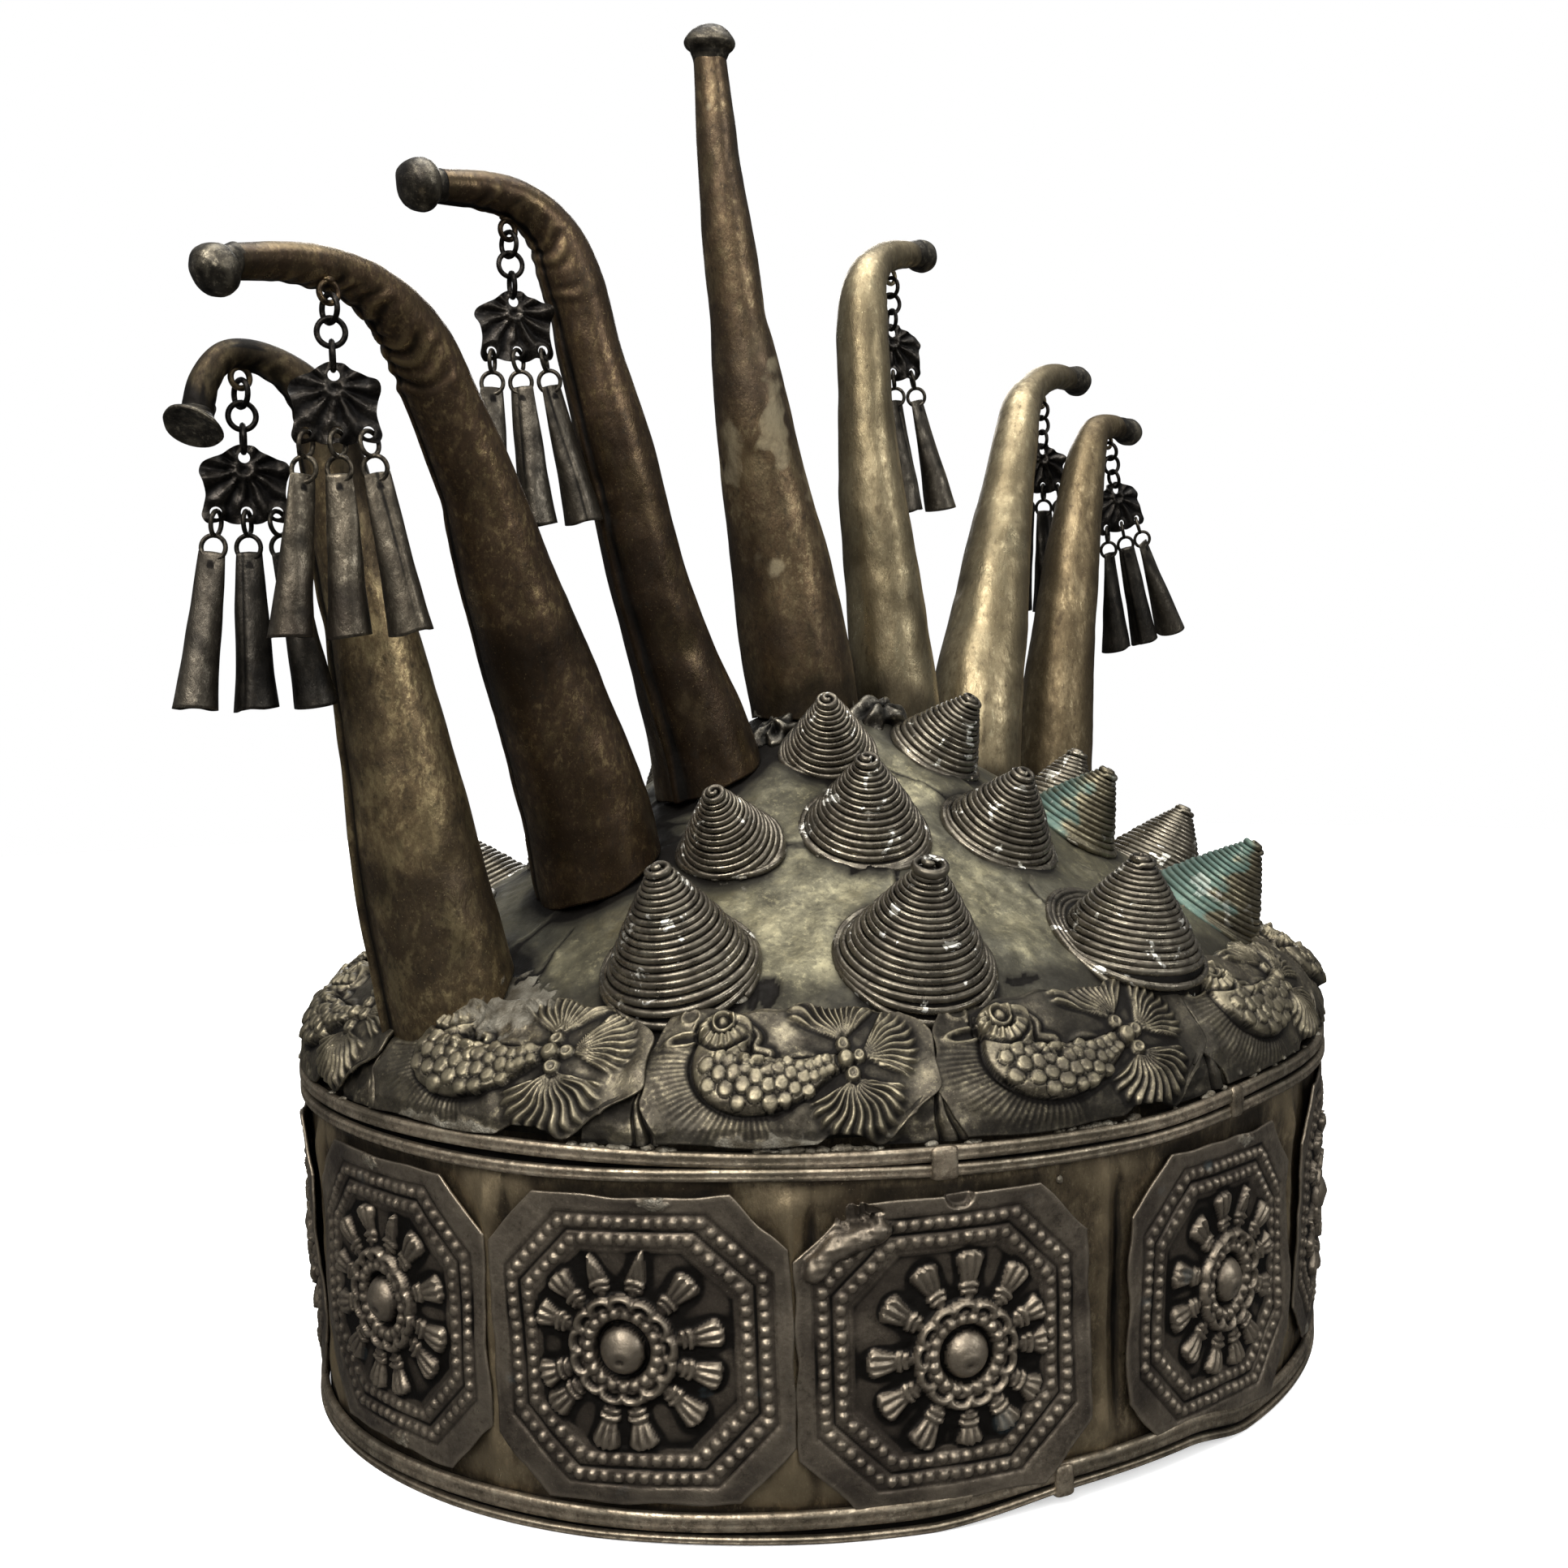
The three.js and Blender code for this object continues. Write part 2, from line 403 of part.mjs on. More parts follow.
// ---------------------------------------------------------------- cones
function cone([x, y, ax, ay, az, height, r]) {
  const a = Math.hypot(x / 100, y / 87.4);
  const rows = SEAT.slice(0, 6);
  let i = 0;
  while (i < rows.length - 2 && rows[i + 1][0] < a * 100) i++;
  const z = rows[i][1] + ((a * 100 - rows[i][0]) / (rows[i + 1][0] - rows[i][0])) * (rows[i + 1][1] - rows[i][1]);
  const axis = new THREE.Vector3(ax, ay, az).normalize();
  const at = (s) => new THREE.Vector3(x, y, z).addScaledVector(axis, s);
  const wide = (s) => r * (1 - s / height) + 1.1 * (s / height);
  const under = -0.62 * r;
  const outer = [at(under), at(0), at(height)].map((c, j) => ringAt(c, axis, j < 2 ? r : wide(height), 8));
  const inner = [at(height * 0.72), at(under)].map((c, j) => ringAt(c, axis, [1.2, r - 1.2][j], 8));
  return skin([...inner, ...outer]).subtract(seat);
}

// ---------------------------------------------------------------- assembly
const headdress = new THREE.Group();
headdress.name = "ritual_headdress";
const put = (name, made, material) => headdress.add(meshOf(name, made, material));

put("cap_dome", cap, CAP_METAL);
put("band_shell", band, PLAQUE_METAL);
put("top_wire_rings", topRings, WIRE_METAL);
put("base_wire_rings", baseRings, WIRE_METAL);
put("plaque_belt_front", frontBelt, PLAQUE_METAL);
put("plaque_belt_back", backBelt, PLAQUE_METAL);
put("fish_frieze", frieze, CAP_METAL);
for (const id of Object.keys(HORNS)) put("horn_" + id, horn(+id), +id < 4 ? HORN_DARK : HORN_LIGHT);
for (const [name, row] of Object.entries(CONES))
  put("cone_" + name, cone(row), name === "front_low_4" || name === "front_mid_4" ? CONE_PATINA : CONE_METAL);
for (const [id, pendant] of Object.entries(PENDANTS)) {
  put("hanger_" + id, hanger(pendant), BELL_METAL);
  for (const k of [0, 1, 2]) put("bell_" + id + "_" + "abc"[k], bell(pendant, k), BELL_METAL);
}

export default headdress;
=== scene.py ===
"""Ritual headdress: the looks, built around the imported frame. All tables are in millimetres in the frame's own axes."""
import math
import bpy
import numpy as np
from mathutils import Matrix, Vector


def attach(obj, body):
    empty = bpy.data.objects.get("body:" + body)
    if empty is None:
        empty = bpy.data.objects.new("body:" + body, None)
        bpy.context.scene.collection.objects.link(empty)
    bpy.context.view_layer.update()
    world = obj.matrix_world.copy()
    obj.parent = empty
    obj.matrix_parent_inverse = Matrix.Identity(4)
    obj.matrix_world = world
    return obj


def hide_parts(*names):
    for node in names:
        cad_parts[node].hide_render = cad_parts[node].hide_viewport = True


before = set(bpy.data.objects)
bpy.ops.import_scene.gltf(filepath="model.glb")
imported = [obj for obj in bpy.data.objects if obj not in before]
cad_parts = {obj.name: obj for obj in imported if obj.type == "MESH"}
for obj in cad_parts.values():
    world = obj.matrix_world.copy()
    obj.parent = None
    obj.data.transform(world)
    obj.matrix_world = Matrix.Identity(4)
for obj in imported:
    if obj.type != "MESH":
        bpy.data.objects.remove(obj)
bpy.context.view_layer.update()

MM = 0.001
TAU = 2 * math.pi
OVAL = 88.7 / 101.3
FIXED = "headdress"


# ------------------------------------------------------------------ camera
CAM_POS = np.array([-251.64, -232.317, 121.674])
CAM_F = np.array([0.718079, 0.693441, -0.05917])
CAM_R = np.array([0.693834, -0.719935, -0.016981])
CAM_U = np.array([0.054373, 0.02886, 0.998104])
FOCAL = 2200.0
IMAGE = 1932.0


def add_camera():
    data = bpy.data.cameras.new("camera")
    data.sensor_fit = "HORIZONTAL"
    data.sensor_width = 36.0
    data.lens = FOCAL / IMAGE * 36.0
    data.clip_start, data.clip_end = 0.01, 50.0
    cam = bpy.data.objects.new("camera", data)
    m = Matrix.Identity(4)
    for i in range(3):
        m[i][0], m[i][1], m[i][2], m[i][3] = CAM_R[i], CAM_U[i], -CAM_F[i], CAM_POS[i] * MM
    cam.matrix_world = m
    bpy.context.scene.collection.objects.link(cam)
    bpy.context.scene.camera = cam


def pixel_ray(px, py):
    d = CAM_F + CAM_R * (px - IMAGE / 2) / FOCAL + CAM_U * (IMAGE / 2 - py) / FOCAL
    return d / np.linalg.norm(d)


# ------------------------------------------------------------------ small maths
def smooth(x, lo, hi):
    t = np.clip((np.asarray(x, float) - lo) / (hi - lo), 0, 1)
    return t * t * (3 - 2 * t)


def waves(P, size, seed, n=9):
    """A soft, repeatable noise of about that feature size, mean 0 and spread about 0.7."""
    rng = np.random.default_rng(seed)
    P = np.asarray(P, float)
    k = rng.normal(size=(n, P.shape[-1]))
    k /= np.linalg.norm(k, axis=1)[:, None]
    k *= (TAU / size) * rng.uniform(0.55, 1.5, n)[:, None]
    ph = rng.uniform(0, TAU, n)
    out = np.zeros(P.shape[:-1])
    for i in range(n):
        out += np.sin(P @ k[i] + ph[i])
    return out / math.sqrt(n)


def unit(v):
    v = np.asarray(v, float)
    return v / np.maximum(np.linalg.norm(v, axis=-1, keepdims=True), 1e-12)


def blur(h, cells, wrap=(False, False)):
    """Box blur twice, over about that many cells each way."""
    out = h.astype(float)
    for axis in (0, 1):
        if cells < 1:
            continue
        for _ in range(2):
            pad = [(0, 0), (0, 0)]
            pad[axis] = (cells, cells)
            p = np.pad(out, pad, mode="wrap" if wrap[axis] else "edge")
            c = np.cumsum(p, axis=axis)
            c = np.insert(c, 0, 0, axis=axis)
            w = 2 * cells + 1
            hi = np.take(c, range(w, c.shape[axis]), axis=axis)
            lo = np.take(c, range(0, c.shape[axis] - w), axis=axis)
            out = (hi - lo) / w
    return out


def catmull(rows, n):
    """n points along a smooth curve through rows, at equal steps of length."""
    R = np.asarray(rows, float)
    P = np.vstack([2 * R[0] - R[1], R, 2 * R[-1] - R[-2]])
    out = []
    for i in range(len(R) - 1):
        p0, p1, p2, p3 = P[i : i + 4]
        d = [max(np.linalg.norm((b - a)[:3]) ** 0.5, 1e-4) for a, b in ((p0, p1), (p1, p2), (p2, p3))]
        t0, t1 = 0, d[0]
        t2, t3 = t1 + d[1], t1 + d[1] + d[2]
        for t in np.linspace(t1, t2, 24, endpoint=False):
            a1 = (t1 - t) / (t1 - t0) * p0 + (t - t0) / (t1 - t0) * p1
            a2 = (t2 - t) / (t2 - t1) * p1 + (t - t1) / (t2 - t1) * p2
            a3 = (t3 - t) / (t3 - t2) * p2 + (t - t2) / (t3 - t2) * p3
            b1 = (t2 - t) / (t2 - t0) * a1 + (t - t0) / (t2 - t0) * a2
            b2 = (t3 - t) / (t3 - t1) * a2 + (t - t1) / (t3 - t1) * a3
            out.append((t2 - t) / (t2 - t1) * b1 + (t - t1) / (t2 - t1) * b2)
    out = np.array(out + [R[-1]])
    s = np.r_[0, np.cumsum(np.linalg.norm(np.diff(out[:, :3], axis=0), axis=1))]
    want = np.linspace(0, s[-1], n) if np.isscalar(n) else np.asarray(n) * s[-1]
    return np.stack([np.interp(want, s, out[:, c]) for c in range(out.shape[1])], 1), s[-1]


# ------------------------------------------------------------------ mesh making
def build(name, V, quads=(), tris=(), mat=None, attrs=None, body=FIXED, sharp=None, stands_for=(), slot=None):
    V = np.asarray(V, float).reshape(-1, 3)
    q = np.asarray(quads, np.int64).reshape(-1, 4)
    t = np.asarray(tris, np.int64).reshape(-1, 3)
    used = np.zeros(len(V), bool)
    used[q.ravel()] = True
    used[t.ravel()] = True
    if not used.all():
        new = np.cumsum(used) - 1
        V, q, t = V[used], new[q], new[t]
        attrs = {k: np.asarray(a).ravel()[used] for k, a in (attrs or {}).items()}
    me = bpy.data.meshes.new(name)
    me.vertices.add(len(V))
    me.vertices.foreach_set("co", (V * MM).astype(np.float32).ravel())
    me.loops.add(4 * len(q) + 3 * len(t))
    me.loops.foreach_set("vertex_index", np.r_[q.ravel(), t.ravel()].astype(np.int32))
    me.polygons.add(len(q) + len(t))
    me.polygons.foreach_set("loop_start", np.r_[np.arange(len(q)) * 4, 4 * len(q) + np.arange(len(t)) * 3].astype(np.int32))
    me.polygons.foreach_set("use_smooth", np.ones(len(q) + len(t), bool))
    me.update(calc_edges=True)
    for k, a in (attrs or {}).items():
        at = me.attributes.new(k, "FLOAT", "POINT")
        at.data.foreach_set("value", np.asarray(a, np.float32).ravel())
    me.validate()
    if sharp:
        me.set_sharp_from_angle(angle=math.radians(sharp))
    ob = bpy.data.objects.new(name, me)
    bpy.context.scene.collection.objects.link(ob)
    if mat:
        me.materials.append(mat)
    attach(ob, body)
    if stands_for:
        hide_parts(*stands_for)
    return ob


def grid_quads(n, m, wrap_n=False, wrap_m=False, start=0):
    i = np.arange(n if wrap_n else n - 1)
    j = np.arange(m if wrap_m else m - 1)
    I, J = np.meshgrid(i, j, indexing="ij")
    a = I * m + J
    b = I * m + (J + 1) % m
    c = ((I + 1) % n) * m + (J + 1) % m
    d = ((I + 1) % n) * m + J
    return np.stack([a, b, c, d], -1).reshape(-1, 4) + start


class Parts:
    """Collects pieces of one mesh."""

    def __init__(self):
        self.v, self.q, self.t, self.a, self.n = [], [], [], {}, 0

    def add(self, V, quads=(), tris=(), **attrs):
        V = np.asarray(V, float).reshape(-1, 3)
        if len(quads):
            self.q.append(np.asarray(quads).reshape(-1, 4) + self.n)
        if len(tris):
            self.t.append(np.asarray(tris).reshape(-1, 3) + self.n)
        for k, a in attrs.items():
            a = np.broadcast_to(np.asarray(a, float).ravel() if np.ndim(a) else float(a), (len(V),))
            self.a.setdefault(k, {})[self.n] = a
        self.v.append(V)
        self.n += len(V)

    def done(self, name, mat, **kw):
        attrs = {}
        for k, parts in self.a.items():
            full = np.zeros(self.n)
            for s, a in parts.items():
                full[s : s + len(a)] = a
            attrs[k] = full
        return build(name, np.vstack(self.v), np.vstack(self.q) if self.q else (), np.vstack(self.t) if self.t else (), mat, attrs, **kw)


def tube(path, radius, sides=10, closed=False, ups=None, squash=None, caps=True):
    """Vertices, quads, tris of a tube along a path of points, with a twist-free frame."""
    P = np.asarray(path, float)
    n = len(P)
    if closed:
        T = unit(np.roll(P, -1, 0) - np.roll(P, 1, 0))
    else:
        T = unit(np.gradient(P, axis=0))
    if ups is None:
        U = np.zeros_like(P)
        u = np.array([0, 0, 1.0]) if abs(T[0][2]) < 0.9 else np.array([1.0, 0, 0])
        for i in range(n):
            u = u - T[i] * (u @ T[i])
            u = u / np.linalg.norm(u)
            U[i] = u
        if closed:  # spread the leftover twist
            w = np.cross(T[0], U[0])
            back = U[-1] - T[0] * (U[-1] @ T[0])
            ang = math.atan2(back @ w, back @ U[0])
            for i in range(n):
                a = -ang * i / n
                W = np.cross(T[i], U[i])
                U[i] = U[i] * math.cos(a) + W * math.sin(a)
    else:
        U = unit(ups - T * np.sum(ups * T, 1, keepdims=True))
    W = np.cross(T, U)
    r = np.broadcast_to(np.asarray(radius, float), (n,))
    a = TAU * np.arange(sides) / sides
    sx, sy = squash or (1, 1)
    V = P[:, None] + r[:, None, None] * (sx * np.cos(a)[None, :, None] * U[:, None] + sy * np.sin(a)[None, :, None] * W[:, None])
    q = grid_quads(n, sides, closed, True)
    q = q[:, ::-1]
    V = V.reshape(-1, 3)
    t = []
    if not closed and caps:
        V = np.vstack([V, P[0] - T[0] * r[0] * 0.3, P[-1] + T[-1] * r[-1] * 0.3])
        a0, a1 = n * sides, n * sides + 1
        for j in range(sides):
            k = (j + 1) % sides
            t.append([a0, k, j][::-1])
            t.append([a1, (n - 1) * sides + j, (n - 1) * sides + k][::-1])
    return V, q, np.array(t).reshape(-1, 3)


def torus(c, normal, R, r, n=28, sides=10, stretch=1.0, long_axis=None):
    nrm = unit(normal)
    if long_axis is None:
        long_axis = np.array([0, 0, 1.0]) if abs(nrm[2]) < 0.9 else np.array([1.0, 0, 0])
    u = unit(long_axis - nrm * (long_axis @ nrm))
    v = np.cross(nrm, u)
    a = TAU * np.arange(n) / n
    path = np.asarray(c) + R * stretch * np.cos(a)[:, None] * u + R * np.sin(a)[:, None] * v
    out = unit(path - np.asarray(c))
    return tube(path, r, sides, closed=True, ups=out)


# ------------------------------------------------------------------ ovals, band and cap surfaces
_N = 1440
_ang = TAU * np.arange(_N + 1) / _N
_ux, _uy = np.cos(_ang), OVAL * np.sin(_ang)
_len = np.r_[0, np.cumsum(np.hypot(np.diff(_ux), np.diff(_uy)))]
PERIM = _len[-1]  # of an oval of semi-axis 1


def oval_at(share):
    """x, y, tangent and normal, each for a unit oval, at a share of its length counted from +X."""
    s = np.mod(share, 1.0) * PERIM
    t = np.interp(s, _len, _ang)
    x, y = np.cos(t), OVAL * np.sin(t)
    tx, ty = -np.sin(t), OVAL * np.cos(t)
    L = np.hypot(tx, ty)
    tx, ty = tx / L, ty / L
    return x, y, tx, ty, ty, -tx


def band_out(z):
    return 98.1 + (np.asarray(z, float) + 1.2) / 57.2 * 2.0


CAP_ROWS = [(0, 117), (15, 114), (30, 105), (45, 96), (60, 87), (75, 79), (83.5, 73.6), (91, 66.9), (97, 62.0), (98.9, 56.4)]
_cr = np.linspace(0, 98.9, 800)
_cz = np.interp(_cr, [r for r, z in CAP_ROWS], [z for r, z in CAP_ROWS])
_k = np.exp(-np.linspace(-2, 2, 61) ** 2)
_k /= _k.sum()
_ext = np.r_[_cz[30:0:-1], _cz, _cz[-1] + (_cz[-1] - _cz[-2]) * np.arange(1, 31)]
_czs = np.convolve(_ext, _k, "valid")
_blend = smooth(_cr, 86, 93)
CAP_Z = _czs * (1 - _blend) + _cz * _blend


def cap_z(x, y):
    rho = np.hypot(x, np.asarray(y) / OVAL)
    return np.interp(rho, _cr, CAP_Z) - np.maximum(rho - 98.9, 0) * 2.5


def cap_normal(x, y):
    e = 0.4
    dzx = (cap_z(x + e, y) - cap_z(x - e, y)) / (2 * e)
    dzy = (cap_z(x, y + e) - cap_z(x, y - e)) / (2 * e)
    return unit(np.stack([-dzx, -dzy, np.ones_like(dzx)], -1))


def on_cap(px, py):
    """Where the ray through a pixel of the 1932 frame meets the cap."""
    d = pixel_ray(px, py)
    t = np.linspace(150, 520, 3000)
    P = CAM_POS + t[:, None] * d
    hit = np.nonzero(P[:, 2] < cap_z(P[:, 0], P[:, 1]))[0]
    return P[hit[0]] if len(hit) else None


# ------------------------------------------------------------------ finishes
def rgb(h):
    c = [int(h[i : i + 2], 16) / 255 for i in (0, 2, 4)]
    return tuple(x / 12.92 if x <= 0.04045 else ((x + 0.055) / 1.055) ** 2.4 for x in c) + (1.0,)


class Nodes:
    def __init__(self, tree):
        self.t = tree

    def add(self, kind, **kw):
        n = self.t.nodes.new(kind)
        for k, v in kw.items():
            setattr(n, k, v)
        return n

    def link(self, a, b):
        self.t.links.new(a, b)

    def put(self, socket, v):
        if hasattr(v, "is_linked") or hasattr(v, "links"):
            self.link(v, socket)
        else:
            socket.default_value = v

    def noise(self, co, scale, detail=4.0, rough=0.55, distortion=0.0, seed=0.0):
        n = self.add("ShaderNodeTexNoise", noise_dimensions="4D")
        self.link(co, n.inputs["Vector"])
        n.inputs["W"].default_value = seed
        n.inputs["Scale"].default_value = scale
        n.inputs["Detail"].default_value = detail
        n.inputs["Roughness"].default_value = rough
        n.inputs["Distortion"].default_value = distortion
        return n.outputs["Fac"]

    def span(self, v, a, b, lo=0.0, hi=1.0):
        n = self.add("ShaderNodeMapRange")
        n.interpolation_type = "SMOOTHSTEP"
        self.put(n.inputs["Value"], v)
        for k, x in zip(("From Min", "From Max", "To Min", "To Max"), (a, b, lo, hi)):
            n.inputs[k].default_value = x
        return n.outputs["Result"]

    def math(self, op, a, b=None):
        n = self.add("ShaderNodeMath", operation=op)
        self.put(n.inputs[0], a)
        if b is not None:
            self.put(n.inputs[1], b)
        return n.outputs[0]

    def mix(self, f, a, b, blend="MIX"):
        n = self.add("ShaderNodeMix", data_type="RGBA", blend_type=blend)
        self.put(n.inputs[0], f)
        self.put(n.inputs[6], a)
        self.put(n.inputs[7], b)
        return n.outputs[2]

    def attr(self, name):
        n = self.add("ShaderNodeAttribute", attribute_type="GEOMETRY", attribute_name=name)
        return n.outputs["Fac"]


def metal(name, recess, mid, high, blotch, rough=(0.3, 0.55), metallic=0.9, grain=1.0, bump=0.35, size=1.0,
          crust="7f7b70", stain=None, spots="2a251e", seed=1.0, streak=None, wear_and_highlight=0.5, coat=0.0, lacquer=0.0, low_mix=0.85, stain_mix=1.0,
          cloud=1.0, mottle=0.45, lime_and_glint=0.0):
    """Tarnished sheet: dark in the hollows, with tarnish and painted shade, bright on the heights, with wear and
    painted highlight, blotched, speckled and finely pitted.

    The point attribute 'relief' runs from 0 in a hollow to 1 on a height and also carries each piece's painted shade
    (low) and painted highlight (high), 'crust' marks solder, 'stain' patina."""
    m = bpy.data.materials.new(name)
    m.use_nodes = True
    nt = m.node_tree
    nt.nodes.clear()
    N = Nodes(nt)
    co = N.add("ShaderNodeTexCoord").outputs["Object"]
    if streak:  # stretch the fine marks along one axis
        mp = N.add("ShaderNodeMapping")
        N.link(co, mp.inputs["Vector"])
        mp.inputs["Scale"].default_value = streak
        fine_co = mp.outputs["Vector"]
    else:
        fine_co = co
    big = N.noise(co, 38 / size, 5, 0.62, 0.6, seed)
    midn = N.noise(fine_co, 170 / size, 6, 0.65, 0.3, seed + 3.1)
    fine = N.noise(fine_co, 900, 5, 0.7, 0.0, seed + 7.7)
    speck = N.noise(co, 3000, 2, 0.5, 0.0, seed + 9.9)

    # sheet colour before relief
    c = N.mix(N.span(big, 0.38, 0.66), rgb(mid), rgb(blotch))
    c = N.mix(N.math("MULTIPLY", N.span(midn, 0.48, 0.64), 0.55 * cloud), c, rgb(recess))
    c = N.mix(N.math("MULTIPLY", N.span(midn, 0.5, 0.34), wear_and_highlight * cloud), c, rgb(high))
    patch = N.span(big, 0.62, 0.4)
    mott = N.noise(fine_co, 430, 6, 0.75, 0.5, seed + 5.5)
    c = N.mix(N.math("MULTIPLY", N.span(mott, 0.5, 0.6), 0.5 * mottle), c, rgb(spots))
    c = N.mix(N.math("MULTIPLY", N.math("MULTIPLY", N.span(mott, 0.5, 0.38), patch), 0.6 * mottle), c, rgb(high))
    c = N.mix(N.math("MULTIPLY", N.span(fine, 0.52, 0.66), 0.62 * grain), c, rgb(spots))
    c = N.mix(N.math("MULTIPLY", N.math("MULTIPLY", N.span(fine, 0.48, 0.34), patch), 0.6 * grain), c, rgb(high))
    c = N.mix(N.math("MULTIPLY", N.span(speck, 0.62, 0.72), 0.35 * grain), c, rgb(high))

    # painted shade and painted highlight from 'relief': hollows take the recess colour and the lowest go near black,
    # heights take the high colour
    rel = N.attr("relief")
    broken = N.math("ADD", rel, N.math("MULTIPLY", N.math("SUBTRACT", midn, 0.5), 0.5))
    low = N.span(broken, 0.5, 0.14)
    top = N.span(broken, 0.56, 0.92)
    c = N.mix(N.math("MULTIPLY", top, wear_and_highlight), c, rgb(high))
    c = N.mix(N.math("MULTIPLY", low, low_mix), c, rgb(recess))
    deep = N.span(rel, 0.13, 0.0)
    c = N.mix(deep, c, (0.006, 0.005, 0.004, 1))
    if stain:
        st = N.attr("stain")
        sf = N.span(N.math("ADD", st, N.math("MULTIPLY", N.math("SUBTRACT", midn, 0.5), 1.2)), 0.35, 0.75)
        c = N.mix(N.math("MULTIPLY", sf, stain_mix), c, rgb(stain))
    cr = N.attr("crust")
    cf = N.span(N.math("ADD", cr, N.math("MULTIPLY", N.math("SUBTRACT", fine, 0.5), 1.1)), 0.3, 0.62)
    c = N.mix(N.math("MULTIPLY", cf, 0.85), c, N.mix(N.span(midn, 0.35, 0.65), rgb(crust), rgb("4b453a")))

    if lime_and_glint:  # near-white smears in small patches: lime, and painted glints
        df = N.math("MULTIPLY", N.span(N.noise(fine_co, 240, 4, 0.6, 0.8, seed + 31.0), 0.61, 0.635), lime_and_glint)
        c = N.mix(df, c, rgb("cfcdc4"))

    r = N.span(midn, 0.3, 0.7, rough[0], rough[1])
    r = N.math("ADD", r, N.math("MULTIPLY", low, 0.18))
    r = N.math("ADD", r, N.math("MULTIPLY", cf, 0.22))
    r = N.math("ADD", r, N.math("MULTIPLY", N.math("SUBTRACT", fine, 0.5), 0.45))
    if lacquer:
        r = N.math("SUBTRACT", r, N.math("MULTIPLY", N.span(N.noise(co, 260, 3, 0.55, 1.2, seed + 21.0), 0.5, 0.6), lacquer))
    if stain:
        r = N.math("ADD", r, N.math("MULTIPLY", sf, 0.2))
    r = N.math("MINIMUM", N.math("MAXIMUM", r, 0.12), 0.95)

    h = N.math("ADD", N.math("MULTIPLY", fine, 0.45), N.math("MULTIPLY", midn, 1.4))
    h = N.math("ADD", h, N.math("MULTIPLY", N.math("MULTIPLY", cf, speck), 3.0))
    bp = N.add("ShaderNodeBump")
    bp.inputs["Strength"].default_value = bump
    bp.inputs["Distance"].default_value = 0.0005
    N.link(h, bp.inputs["Height"])

    b = N.add("ShaderNodeBsdfPrincipled")
    b.inputs["Metallic"].default_value = metallic
    if coat:
        b.inputs["Coat Weight"].default_value = coat
        b.inputs["Coat Roughness"].default_value = 0.12
    N.link(c, b.inputs["Base Color"])
    N.link(r, b.inputs["Roughness"])
    N.link(bp.outputs["Normal"], b.inputs["Normal"])
    out = N.add("ShaderNodeOutputMaterial")
    N.link(b.outputs["BSDF"], out.inputs["Surface"])
    return m


